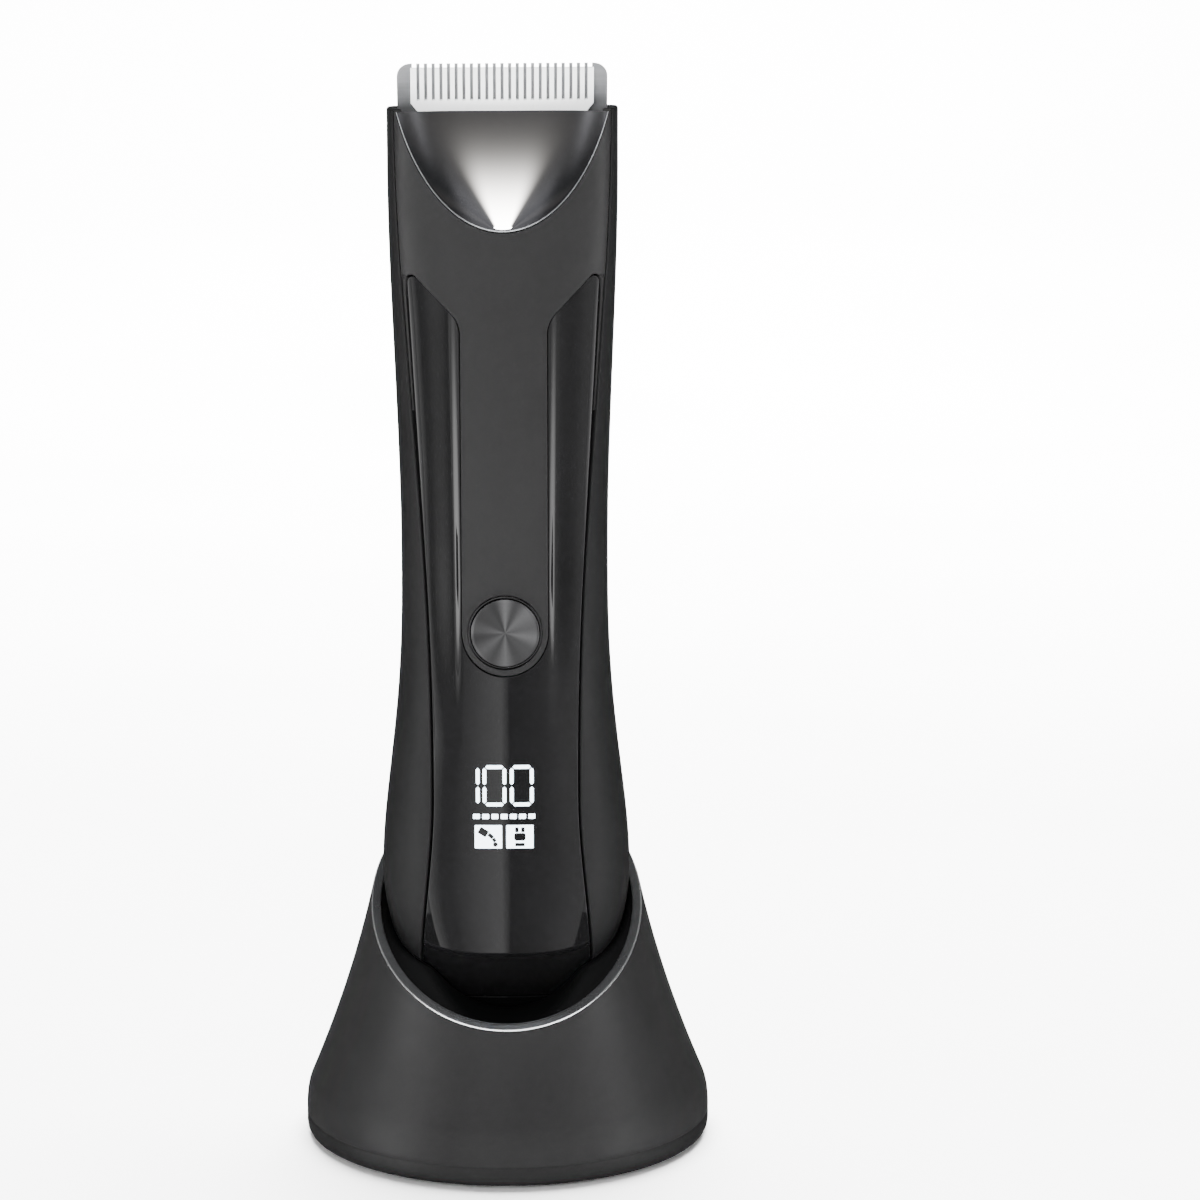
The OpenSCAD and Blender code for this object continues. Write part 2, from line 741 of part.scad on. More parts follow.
module battery_cell() {
  color("#2f6f9f") translate([0, cell_y, cell_z]) {
    cylinder(r = cell_r, h = cell_len - 0.8);
    translate([0, 0, cell_len - 0.8]) cylinder(r = 3.2, h = 0.8);
  }
}
module battery_tabs() {
  color("#c4c4c0") for (z = [cell_z - 0.3, cell_top])
    translate([-2.5, board_y, z]) cube([5, cell_y - board_y + 3, 0.3]);
}

can_z = bracket_z - motor_len;
can_t = 0.8;
module motor_section(inset) {
  intersection() {
    circle(motor_r - inset);
    square([2 * motor_r, motor_flat - 2 * inset], center = true);
  }
}
module at_motor(z) { translate([0, motor_y, z]) children(); }
bush_r = 2.4;
module motor_can() {
  color("#a5a7aa") at_motor(can_z) difference() {
    linear_extrude(motor_len) motor_section(0);
    translate([0, 0, -0.01]) linear_extrude(motor_len - can_t) motor_section(can_t);
    cylinder(r = shaft_r + running, h = motor_len + 1);
    for (x = [-7, 7]) translate([x, 0, motor_len - 2]) cylinder(r = pilot_r - 0.2, h = 3);
  }
}
armature_r = motor_flat / 2 - can_t - 0.9;
module motor_magnets() {
  color("#3c3c40") at_motor(can_z + 3) linear_extrude(motor_len - 7) difference() {
    motor_section(can_t);
    circle(armature_r + 0.5);
    square([8, 2 * motor_r], center = true);
  }
}
module motor_end_bell() {
  color("#e3e0d4") at_motor(can_z - 2) {
    difference() {
      linear_extrude(2) motor_section(0);
      translate([0, 0, -1]) cylinder(r = shaft_r + running, h = 5);
    }
    for (x = [-4.5, 4.5]) translate([x - 0.8, -0.2, -1]) cube([1.6, 0.4, 1]);
  }
}
module motor_bracket() {
  plate_w = rail_in + rail_t;
  color("#46484b") difference() {
    translate([-plate_w, -8, bracket_z]) cube([2 * plate_w, 14, bracket_t]);
    at_motor(bracket_z - 1) cylinder(r = bush_r, h = 4);
    for (x = [-7, 7]) at_motor(bracket_z - 1) translate([x, 0, 0]) cylinder(r = pilot_r - 0.2, h = 4);
  }
}
module bracket_screws() {
  color("#b9bbbe") for (x = [-7, 7]) at_motor(bracket_z - can_t) translate([x, 0, 0]) {
    cylinder(r = pilot_r - 0.2, h = bracket_t + can_t);
    translate([0, 0, bracket_t + can_t]) difference() {
      cylinder(r = 1.6, h = 1);
      translate([-1, -0.2, 0.6]) cube([2, 0.4, 1]);
    }
  }
}
module rotor() {
  color("#8d6a4a") at_motor(0) {
    translate([0, 0, can_z - 1.6]) cylinder(r = shaft_r, h = hub_z + 3.5 - can_z + 1.6);
    translate([0, 0, can_z + 4]) cylinder(r = armature_r, h = motor_len - 9);
    translate([0, 0, can_z + 1]) cylinder(r = 2.4, h = 3);
  }
}
module eccentric_cam() {
  color("#dcd8cc") at_motor(hub_z) {
    difference() {
      cylinder(r = hub_r, h = hub_h);
      translate([0, 0, -1]) cylinder(r = shaft_r, h = 4.5);
    }
    translate([0, -throw, hub_h]) cylinder(r = ecc_r, h = ecc_top - hub_z - hub_h);
  }
}

seal_out = 5;
module bulkhead() {
  color("#303133") difference() {
    intersection() {
      handle_core(wall + 0.06, bulkhead_z, bulkhead_z + bulkhead_t, 0, 2);
      translate([-big / 2, -8, bulkhead_z - 1]) cube([big, 40, 5]);
    }
    at_motor(bulkhead_z - 1) cylinder(r = seal_out, h = 5);
  }
}
module drive_seal() {
  color("#6b6d70") at_motor(bulkhead_z) difference() {
    cylinder(r = seal_out, h = bulkhead_t);
    translate([0, 0, -1]) cylinder(r = throw + ecc_r + 0.3, h = 5);
  }
}

// ---------- lower end ----------

module bottom_cap() {
  color("#0d0d0e") difference() {
    handle_core(0, cap_z, cap_top, 4, 0);
    plug_hole(cap_z - 1, 10, 0.4);
  }
}
module cap_gasket() {
  color("#55565a") difference() {
    handle_core(wall + 0.2, cap_top, cap_top + 1.5, 2, 0);
    handle_core(wall + 1.2, cap_top - 0.5, cap_top + 2, 2, 0);
  }
}
module inlet_socket() {
  color("#101011") translate([-5.8, board_y - board_t + 0.3, cap_top]) cube([11.6, 10.9, socket_h]);
}
module inlet_pins() {
  color("#c9a24a") at_pins() translate([0, 0, cap_z + 1.2]) cylinder(r = pin_r, h = cap_top - cap_z - 1.2);
}

// ---------- blade set ----------

module in_blade_frame() {
  translate([0, tip_y, tip_z]) rotate([lean, 0, 0]) children();
}
function blade_y(z) = tip_y + (tip_z - z) * tan(lean);   // skin face of the comb at a height

lobe_r = 2.3;
module comb_outline() {
  slot = pitch - steel_tooth;
  difference() {
    hull() {
      for (side = [-1, 1]) translate([side * (comb_w - lobe_r), -lobe_r]) circle(lobe_r, $fn = 32);
      translate([-comb_w, -comb_len]) square([2 * comb_w, 4]);
    }
    for (i = [0:teeth]) translate([(i - (teeth + 1) / 2 + 0.5) * pitch - slot / 2, -tooth_len])
      square([slot, tooth_len + 1]);
  }
}
screw_drop = 15.6;
screw_x = 12;
module across_blade(half) {
  rotate([90, 0, 90]) translate([0, 0, -half]) linear_extrude(2 * half) children();
}
module comb_blade() {
  color("#8f9194") in_blade_frame() difference() {
    intersection() {
      translate([0, 1, 0]) rotate([90, 0, 0]) linear_extrude(4) comb_outline();
      across_blade(comb_w) polygon([[-comb_t, 0], [-comb_t, -comb_len], [0, -comb_len],
                                    [0, -tooth_len + 1.6], [-comb_t + 0.28, 0]]);
    }
    for (x = [-screw_x, screw_x]) translate([x, 1, -screw_drop]) rotate([90, 0, 0])
      cylinder(r = 1.1, h = 3);
  }
}
module blade_screws() {
  color("#c6c8ca") in_blade_frame() for (x = [-screw_x, screw_x])
    translate([x, 0, -screw_drop]) rotate([90, 0, 0]) {
    cylinder(r = pilot_r, h = comb_t + 1.4);
    translate([0, 0, -0.7]) difference() {
      cylinder(r = 1.9, h = 0.7);
      translate([-1.3, -0.2, -0.1]) cube([2.6, 0.4, 0.45]);
      translate([-0.2, -1.3, -0.1]) cube([0.4, 2.6, 0.45]);
    }
  }
}

// Side view of the carrier: a front wall, the leaning seat of the comb and a foot behind it
module blade_carrier() {
  seat = comb_t / cos(lean) + 0.02;
  ledge = tip_z - comb_len * cos(lean) - 0.4;
  color("#1c1c1e") difference() {
    intersection() {
      rotate([90, 0, 90]) translate([0, 0, -carrier_w]) linear_extrude(2 * carrier_w)
        polygon([[lip_back_y + 0.4, carrier_bottom], [blade_y(ledge) + 2.2, carrier_bottom],
                 [blade_y(ledge) + 2.2, ledge], [blade_y(ledge) - seat, ledge],
                 [blade_y(carrier_top) - seat, carrier_top], [lip_back_y + 0.4, carrier_top]]);
      union() {
        translate([-carrier_w, -20, window_z + 0.3]) cube([2 * carrier_w, 40, big]);
        translate([-carrier_w + 0.9, -20, 0]) cube([2 * carrier_w - 1.8, 20, big]);
        translate([-10, -20, 0]) cube([20, 40, big]);
      }
    }
    translate([-yoke_w - throw - 0.4, -10, carrier_bottom - 1])
      cube([2 * (yoke_w + throw + 0.4), 10 + blade_y(ledge) - 1.8, 30]);
    in_blade_frame() for (x = [-screw_x, screw_x]) translate([x, 0, -screw_drop]) rotate([90, 0, 0])
      cylinder(r = pilot_r, h = comb_t + 1.4);
  }
}

spring_r = 0.4;
spring_x = 10.5;
module blade_springs() {
  reach = carrier_top + 4.6;
  touch = blade_y(reach) - (comb_t + cutter_t) / cos(lean) - spring_r - 0.12;
  color("#b9bbbe") for (x = [-spring_x, spring_x]) translate([x, touch, carrier_top]) {
    cylinder(r = spring_r, h = reach - carrier_top);
    translate([0, 0, reach - carrier_top]) sphere(spring_r);
  }
}

// Ceramic cutter: its teeth fill the gaps of the steel comb at rest
cutter_chamfer = 2.6;
module cutter_outline() {
  foot = -cutter_set_back - cutter_len;
  difference() {
    polygon([[-cutter_w, -cutter_set_back], [cutter_w, -cutter_set_back],
             [cutter_w, foot + cutter_chamfer + 0.8], [cutter_w - cutter_chamfer, foot],
             [-cutter_w + cutter_chamfer, foot], [-cutter_w, foot + cutter_chamfer + 0.8]]);
    for (i = [0:teeth - 1])
      translate([(i - (teeth - 1) / 2) * pitch - slot_w / 2, -cutter_set_back - tooth_len])
      square([slot_w, tooth_len + 1]);
  }
}
cutter_back = -comb_t - 0.03;
bevel_z = -4.1;                        // the tip bevel of the cutter starts here
module ceramic_cutter() {
  foot = -cutter_set_back - cutter_len;
  color("#f2f4f4") in_blade_frame() intersection() {
    translate([0, 2, 0]) rotate([90, 0, 0]) linear_extrude(6) cutter_outline();
    across_blade(cutter_w) polygon([[cutter_back, 0], [cutter_back, foot], [cutter_back - cutter_t, foot],
                                    [cutter_back - cutter_t, bevel_z], [cutter_back - 0.3, 0]]);
  }
}

yoke_w = 6;
module cutter_yoke() {
  yoke_front = lip_back_y + 0.3;
  top = head_z - 1.2;
  bridge = ecc_top + 0.6;
  fork_back = motor_y + ecc_r + 0.25;
  color("#e6e3d8") difference() {
    union() {
      translate([-yoke_w, yoke_front, bridge]) cube([2 * yoke_w, 3.2, top - bridge]);
      translate([-3.4, yoke_front, ecc_top - 4.5])
        cube([6.8, fork_back - yoke_front, bridge + 2 - ecc_top + 4.5]);
    }
    in_blade_frame() translate([-big / 2, -comb_t - cutter_t - 0.03, -big / 2]) cube(big);
    translate([-fork_gap, yoke_front - 1, ecc_top - 6]) cube([2 * fork_gap, 10, bridge - ecc_top + 6]);
  }
}

// ---------- the nodes ----------

stand_shell();
stand_cup();
stand_base();
ballast_ring();
base_screws();
foot_ring();
dock_board();
dock_plug();
dock_contacts();
stand_inlet();
stand_inlet_pins();
stand_wires();
rear_shell();
front_cover();
gloss_panel();
display_digits();
charge_bar();
status_icons();
display_module();
main_board();
board_chips();
tact_switch();
button_bezel();
chassis();
battery_cell();
battery_tabs();
motor_can();
motor_magnets();
motor_end_bell();
motor_bracket();
bracket_screws();
bulkhead();
drive_seal();
light_scoop();
led_lens();
led_board();
bottom_cap();
cap_gasket();
inlet_socket();
inlet_pins();
power_button();
rotor();
eccentric_cam();
blade_carrier();
comb_blade();
blade_screws();
blade_springs();
ceramic_cutter();
cutter_yoke();
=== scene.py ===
import math
import bpy
import numpy as np
from mathutils import Matrix, Vector, geometry


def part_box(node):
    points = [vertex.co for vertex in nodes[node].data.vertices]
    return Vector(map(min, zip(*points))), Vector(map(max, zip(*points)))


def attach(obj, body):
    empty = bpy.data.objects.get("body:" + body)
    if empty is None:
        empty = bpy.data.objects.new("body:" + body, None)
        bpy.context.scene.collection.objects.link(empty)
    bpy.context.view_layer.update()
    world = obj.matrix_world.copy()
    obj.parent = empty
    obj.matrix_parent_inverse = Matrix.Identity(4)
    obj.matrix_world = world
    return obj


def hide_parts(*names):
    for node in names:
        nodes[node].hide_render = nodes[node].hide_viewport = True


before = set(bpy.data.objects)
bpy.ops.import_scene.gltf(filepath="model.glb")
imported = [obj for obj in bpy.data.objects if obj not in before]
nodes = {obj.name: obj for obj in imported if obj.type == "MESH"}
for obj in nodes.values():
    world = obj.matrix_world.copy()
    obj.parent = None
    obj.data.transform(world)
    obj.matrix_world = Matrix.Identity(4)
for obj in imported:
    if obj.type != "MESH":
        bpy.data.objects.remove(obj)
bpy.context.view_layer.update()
MM = 0.001

# ---------------------------------------------------------------- camera and stage


def look(location, pitch_down, roll, lens, shift_x):
    """The photo's camera, looking towards +Y."""
    data = bpy.data.cameras.new("camera")
    data.lens = lens
    data.sensor_width = 36.0
    data.shift_x = shift_x
    data.clip_start = 0.01
    cam = bpy.data.objects.new("camera", data)
    bpy.context.scene.collection.objects.link(cam)
    tilt = Matrix.Rotation(math.radians(90 - pitch_down), 4, "X")
    cam.matrix_world = Matrix.Translation(location) @ tilt @ Matrix.Rotation(math.radians(roll), 4, "Z")
    bpy.context.scene.camera = cam


look(location=(0.0, -0.650, 0.212), pitch_down=10.46, roll=-0.32, lens=118.1, shift_x=0.0792)

# ---------------------------------------------------------------- the handle's surface, in millimetres

BELLY_W, WAIST_W, HEAD_W = 20.8, 17.2, 18.9
BELLY_Z, HANDLE_LEN, END_DROP = 48.0, 126.5, 29.0
BELLY_DEPTH, BAND_W, CHANNEL = 31.4, 7.1, 1.1
HEAD_Z = BELLY_Z + HANDLE_LEN
WAIST_Z, SHOULDER_Z, NAPE_Z = BELLY_Z + 54, HEAD_Z - 9.5, HEAD_Z - 36.5
CAP_Z = BELLY_Z - END_DROP + 2.5
CAP_TOP = CAP_Z + 5.5
BUTTON_Z = BELLY_Z + 41.4
CHANNEL_TOP = HEAD_Z - 27
TIP_IN, CHANNEL_BED = 7.3, 0.74
MID_Y = -3.0
BELLY_BACK = BELLY_DEPTH * 0.5
BELLY_FRONT = BELLY_DEPTH - BELLY_BACK
WAIST_FRONT, WAIST_BACK, HEAD_FRONT, HEAD_BACK = 12.3, 14.2, 9.6, 7.0
SEAM_LOW, SEAM_TOP = 12.3, 17.7
SEAM_LOW_Z = BELLY_Z + 14
SEAM = 0.12
BUTTON_R, BUTTON_HOLE = 5.64, 6.1
BEZEL_IN, BEZEL_OUT = 5.72, 6.08
STRIP_Z = CHANNEL_TOP - 22
STRIP_SINK = 0.55
SCOOP_Z, SCOOP_W, SCOOP_H, SCOOP_GAP = HEAD_Z - 19.8, 19.5, 35.5, 0.14
LIP_DROP, LIP_BACK = 0.5, -3.7
LENS_Z, LENS_W, LENS_H = SCOOP_Z + 0.92, 1.45, 0.36


def ease(u):
    """Smooth step from 0 to 1."""
    v = np.clip(u, 0, 1)
    return v * v * (3 - 2 * v)


def round_end(z):
    """Narrows the sections below the belly to the handle's rounded end."""
    return np.where(z >= BELLY_Z, 1.0, np.sqrt(np.maximum(0, 1 - ((BELLY_Z - z) / END_DROP) ** 2)))


def below_waist(z, bend):
    return ease(np.maximum(0, (WAIST_Z - z) / (WAIST_Z - BELLY_Z)) ** bend)


def above_waist(z):
    return ease((z - WAIST_Z) / (SHOULDER_Z - WAIST_Z))


def half_w(z):
    """Half of the handle's width."""
    low = (WAIST_W + (BELLY_W - WAIST_W) * below_waist(z, 1.5)) * round_end(z)
    return np.where(z < WAIST_Z, low, WAIST_W + (HEAD_W - WAIST_W) * above_waist(z))


def front_d(z):
    """How far the middle of the front stands from MID_Y; back_d is the same for the back."""
    low = (WAIST_FRONT + (BELLY_FRONT - WAIST_FRONT) * below_waist(z, 1)) * round_end(z)
    return np.where(z < WAIST_Z, low, WAIST_FRONT + (HEAD_FRONT - WAIST_FRONT) * above_waist(z))


def back_d(z):
    low = (WAIST_BACK + (BELLY_BACK - WAIST_BACK) * below_waist(z, 1)) * round_end(z)
    high = WAIST_BACK + (HEAD_BACK - WAIST_BACK) * np.maximum(0, (z - NAPE_Z) / (HEAD_Z - NAPE_Z)) ** 1.3
    return np.where(z < WAIST_Z, low, high)


def front_n(z):
    """Exponent of the front's half section; 2 is an ellipse."""
    return 2.6 + 0.8 * ease((z - NAPE_Z) / 25)


def back_n(z):
    return 2.5 + 2.5 * ease((z - NAPE_Z) / 25)


def seam_x(z):
    """How far from the middle the front and rear mouldings meet."""
    z = np.asarray(z, float)
    low = SEAM_LOW + 2.2 * ease((SEAM_LOW_Z - z) / 32)
    rise = ease(np.maximum(0, (z - SEAM_LOW_Z) / (HEAD_Z - SEAM_LOW_Z)) ** 1.15)
    x = np.where(z < SEAM_LOW_Z, low, SEAM_LOW + (SEAM_TOP - SEAM_LOW) * rise)
    return np.minimum(x, np.where(z < BELLY_Z, 0.8, 0.95) * half_w(z))


def side_gap(z):
    """Distance from the seam to the edge of the gloss panel."""
    return 0.28 + 0.5 * ease((z - WAIST_Z) / (CHANNEL_TOP - WAIST_Z))


def front_y(x, z):
    n = front_n(z)
    t = np.clip(np.abs(x) / half_w(z), 0, 0.9995)
    return MID_Y - front_d(z) * (1 - t ** n) ** (1 / n)


def on_front(u, v):
    return np.stack([u, front_y(u, v), v], -1)


def channel_in(x, z):
    """Depth of the hollow channel beside the band: down from the seam, then half way up again."""
    t = np.clip((seam_x(z) - np.abs(x)) / (seam_x(z) - BAND_W), 0, 1)
    rise = ease((t - CHANNEL_BED) / (1 - CHANNEL_BED))
    return CHANNEL * (ease(t / CHANNEL_BED) - 0.5 * rise) * ease((z - BUTTON_Z + 20) / 30)


def on_panel(u, v):
    p = on_front(u, v)
    n = normals(on_front, u, v)
    return p - n * channel_in(u, v)[:, None]


POLAR_R = 16.0


def on_handle(u, v, inset=0.0):
    """u is the angle about the middle line times POLAR_R, from +X towards the back."""
    a = u / POLAR_R
    c, s = np.cos(a), np.sin(a)
    back = s > 0
    n = np.where(back, back_n(v), front_n(v))
    d = np.where(back, back_d(v), front_d(v)) - inset
    w = half_w(v) - inset
    r = (np.abs(c / w) ** n + np.abs(s / d) ** n) ** (-1 / n)
    return np.stack([r * c, MID_Y + r * s, v], -1)


PROBE = 0.02


def normals(surface, u, v, h=PROBE):
    """Unit normals of a surface, from points a little way off on each side."""
    du = surface(u + h, v) - surface(u - h, v)
    dv = surface(u, v + h) - surface(u, v - h)
    n = np.cross(du, dv)
    return n / np.linalg.norm(n, axis=1)[:, None]


# ---------------------------------------------------------------- mesh making


def add_object(name, verts, faces, body, vert_normals=None):
    """A smooth-shaded mesh object that rides on a body; the points are in millimetres."""
    mesh = bpy.data.meshes.new(name)
    mesh.from_pydata([tuple(p) for p in np.asarray(verts) * MM], [], faces)
    mesh.polygons.foreach_set("use_smooth", [True] * len(mesh.polygons))
    mesh.update()
    if vert_normals is not None:
        mesh.normals_split_custom_set_from_vertices([tuple(n) for n in vert_normals])
    obj = bpy.data.objects.new(name, mesh)
    bpy.context.scene.collection.objects.link(obj)
    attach(obj, body)
    return obj


def densify(loop, step):
    """Adds points, so that no side of the loop is longer than step."""
    out = []
    for a, b in zip(loop, np.roll(loop, -1, 0)):
        k = max(1, int(math.ceil(np.linalg.norm(b - a) / step)))
        out += [a + (b - a) * i / k for i in range(k)]
    return np.array(out)


def wound(loop, hole):
    """The loop in the order that keeps the material on its left."""
    x, y = loop[:, 0], loop[:, 1]
    area = np.sum(x * np.roll(y, -1) - np.roll(x, -1) * y)
    return loop[::-1] if (area < 0) != hole else loop


def inward(loop):
    """How far each point moves when the loop's edges all move inward by 1."""
    def unit(e):
        return e / np.maximum(np.linalg.norm(e, axis=1), 1e-9)[:, None]
    e1, e2 = unit(loop - np.roll(loop, 1, 0)), unit(np.roll(loop, -1, 0) - loop)
    n1, n2 = np.stack([-e1[:, 1], e1[:, 0]], -1), np.stack([-e2[:, 1], e2[:, 0]], -1)
    return (n1 + n2) / np.maximum(1 + (n1 * n2).sum(1), 0.4)[:, None]


def inside(points, loops):
    """Which points lie in the region that the loops bound."""
    hit = np.zeros(len(points), int)
    for loop in loops:
        a, b = loop, np.roll(loop, -1, 0)
        for (ax, ay), (bx, by) in zip(a, b):
            if ay == by:
                continue
            cross = (ay > points[:, 1]) != (by > points[:, 1])
            hit += cross & (points[:, 0] < ax + (points[:, 1] - ay) * (bx - ax) / (by - ay))
    return hit % 2 == 1


def clear_of(points, loops, reach, scale):
    """Which points keep their distance from the loops."""
    keep = np.ones(len(points), bool)
    edge = np.concatenate(loops) / scale
    p = points / scale
    for i in range(0, len(p), 2000):
        d = ((p[i:i + 2000, None] - edge[None]) ** 2).sum(-1).min(1)
        keep[i:i + 2000] = d > reach * reach
    return keep


def plate(name, loops, surface, body, step=(0.8, 0.8), edge_step=0.35, fillet=0.2, depth=1.6, turns=4):
    """A closed skin over the region inside loops (the first is the outline, the rest are holes)."""
    loops = [wound(densify(np.asarray(l, float), edge_step), i > 0) for i, l in enumerate(loops)]
    dirs = [inward(l) for l in loops]
    rings = []
    for k in range(turns + 1):
        phi = math.pi / 2 * k / turns
        rings.append((fillet * (1 - math.cos(phi)), fillet * (1 - math.sin(phi)), phi))
    flat, drop, phis, outs = [], [], [], []
    start = {}
    for li, (loop, d) in enumerate(zip(loops, dirs)):
        for k, (ins, dr, phi) in enumerate(rings):
            start[li, k] = sum(len(f) for f in flat)
            flat.append(loop + d * ins)
            drop.append(np.full(len(loop), dr))
            phis.append(np.full(len(loop), phi))
            outs.append(-d)
    inner = [loop + d * rings[-1][0] for loop, d in zip(loops, dirs)]
    lo, hi = inner[0].min(0), inner[0].max(0)
    scale = np.array(step)
    gx = np.arange(lo[0] + step[0] / 2, hi[0], step[0])
    gz = np.arange(lo[1] + step[1] / 2, hi[1], step[1])
    grid = np.array([(x, z) for z in gz for x in gx]).reshape(-1, 2)
    grid = grid[inside(grid, inner)]
    grid = grid[clear_of(grid, inner, 0.5, scale)]
    # triangulate inside the innermost rings
    pts, edges, owner = [], [], []
    for li, loop in enumerate(inner):
        base = len(pts)
        m = len(loop)
        pts += [tuple(p / scale) for p in loop]
        edges += [(base + i, base + (i + 1) % m) for i in range(m)]
        owner += [start[li, len(rings) - 1] + i for i in range(m)]
    base_grid = sum(len(f) for f in flat)
    pts += [tuple(p / scale) for p in grid]
    owner += [base_grid + i for i in range(len(grid))]
    cut = geometry.delaunay_2d_cdt([Vector(p) for p in pts], edges, [], 0, 1e-7)
    out_v, out_f, from_v = cut[0], cut[2], cut[3]
    mids = [[sum(out_v[i][0] for i in f) / 3, sum(out_v[i][1] for i in f) / 3] for f in out_f]
    keep = inside(np.array(mids) * scale, inner)
    flat.append(grid)
    flat = np.concatenate(flat)
    drop = np.concatenate(drop + [np.zeros(len(grid))])
    phis = np.concatenate(phis + [np.full(len(grid), math.pi / 2)])
    outs = np.concatenate(outs + [np.zeros((len(grid), 2))])
    faces = []
    for f, k in zip(out_f, keep):
        if k and all(from_v[i] for i in f):
            faces.append([owner[from_v[i][0]] for i in f])
    for li, loop in enumerate(loops):
        m = len(loop)
        for k in range(turns):
            a, b = start[li, k], start[li, k + 1]
            faces += [[a + i, a + (i + 1) % m, b + (i + 1) % m, b + i] for i in range(m)]
    u, v = flat[:, 0], flat[:, 1]
    base, up = surface(u, v), normals(surface, u, v)
    side = surface(u + outs[:, 0] * PROBE, v + outs[:, 1] * PROBE) - base
    length = np.linalg.norm(side, axis=1)[:, None]
    side = np.where(length > 1e-9, side / np.maximum(length, 1e-9), 0)
    top = base - up * drop[:, None]
    bottom = base - up * depth
    n_top = up * np.sin(phis)[:, None] + side * np.cos(phis)[:, None]
    count = len(flat)
    both = faces + [[i + count for i in reversed(f)] for f in faces]
    verts = list(top) + list(bottom)
    norms = list(n_top) + list(-up)
    for li, loop in enumerate(loops):
        m = len(loop)
        a = start[li, 0]
        w = len(verts)
        verts += list(top[a:a + m]) + list(bottom[a:a + m])
        norms += list(side[a:a + m]) * 2
        both += [[w + m + i, w + m + (i + 1) % m, w + (i + 1) % m, w + i] for i in range(m)]
    norms = np.array(norms)
    norms /= np.maximum(np.linalg.norm(norms, axis=1), 1e-9)[:, None]
    return add_object(name, np.array(verts), both, body, norms)


def mirrored(right):
    """Closes an outline given by its right half, from the lowest point on the middle line to the highest."""
    right = np.array(right, float)
    left = right[::-1] * np.array([-1, 1])
    keep = np.abs(left[:, 0]) > 1e-6
    return np.concatenate([right, left[keep]])


def arc(cx, cz, r, a0, a1, count):
    a = np.radians(np.linspace(a0, a1, count))
    return [(cx + r * math.cos(t), cz + r * math.sin(t)) for t in a]


def rounded(points, radius, steps=8):
    """Rounds the corners of an open run of points; radius is one number per inner corner."""
    out = [tuple(points[0])]
    for i in range(1, len(points) - 1):
        p, a, b = (np.array(points[k], float) for k in (i, i - 1, i + 1))
        r = radius[i - 1]
        if r <= 0:
            out.append(tuple(p))
            continue
        ua, ub = (a - p) / np.linalg.norm(a - p), (b - p) / np.linalg.norm(b - p)
        half = math.acos(max(-1, min(1, float(ua @ ub)))) / 2
        t = min(r / math.tan(half), 0.48 * np.linalg.norm(a - p), 0.48 * np.linalg.norm(b - p))
        r = t * math.tan(half)
        c = p + (ua + ub) / np.linalg.norm(ua + ub) * r / math.sin(half)
        s, e = p + ua * t - c, p + ub * t - c
        a0, a1 = math.atan2(s[1], s[0]), math.atan2(e[1], e[0])
        while a1 - a0 > math.pi:
            a1 -= 2 * math.pi
        while a1 - a0 < -math.pi:
            a1 += 2 * math.pi
        out += [(c[0] + r * math.cos(a0 + (a1 - a0) * k / steps),
                 c[1] + r * math.sin(a0 + (a1 - a0) * k / steps)) for k in range(steps + 1)]
    return out + [tuple(points[-1])]


# ---------------------------------------------------------------- materials


def nodes_of(name):
    mat = bpy.data.materials.new(name)
    mat.use_nodes = True
    nt = mat.node_tree
    nt.nodes.clear()
    out = nt.nodes.new("ShaderNodeOutputMaterial")
    bsdf = nt.nodes.new("ShaderNodeBsdfPrincipled")
    nt.links.new(bsdf.outputs[0], out.inputs[0])
    return mat, nt, bsdf


def tint(rgb, k):
    """A colour made k times as bright."""
    return tuple(min(1.0, max(0.0, c * k)) for c in rgb) + (1.0,)


def fill_ramp(ramp, stops):
    """Gives a colour ramp its stops, (position, colour); the first two take the ramp's own."""
    for i, (at, colour) in enumerate(stops):
        stop = ramp.elements[i] if i < 2 else ramp.elements.new(at)
        stop.position = at
        stop.color = colour


def two_tone(nt, value, low, high, at=(0.0, 1.0)):
    """Colour that runs from low to high with a value."""
    ramp = nt.nodes.new("ShaderNodeValToRGB")
    fill_ramp(ramp.color_ramp, zip(at, (low, high)))
    nt.links.new(value, ramp.inputs[0])
    return ramp.outputs[0]


def math_node(nt, op, *values):
    """A maths node on numbers or other nodes' outputs."""
    n = nt.nodes.new("ShaderNodeMath")
    n.operation = op
    for socket, value in zip(n.inputs, values):
        if isinstance(value, (int, float)):
            socket.default_value = value
        else:
            nt.links.new(value, socket)
    return n.outputs[0]


def remap(nt, value, start, end, low=0.0, high=1.0, kind="LINEAR"):
    """Takes a value from the range start..end to the range low..high."""
    n = nt.nodes.new("ShaderNodeMapRange")
    n.interpolation_type = kind
    for name, number in (("From Min", start), ("From Max", end), ("To Min", low), ("To Max", high)):
        n.inputs[name].default_value = number
    nt.links.new(value, n.inputs["Value"])
    return n.outputs[0]


def noise(nt, place, scale, detail=2.0):
    n = nt.nodes.new("ShaderNodeTexNoise")
    n.inputs["Scale"].default_value = scale
    n.inputs["Detail"].default_value = detail
    nt.links.new(place, n.inputs["Vector"])
    return n.outputs["Fac"]


FINE_SHARE, SLOW_SHARE, CLOUD_RANGE, ROUGH_FLOOR = 0.45, 0.55, (0.3, 0.7), 0.012


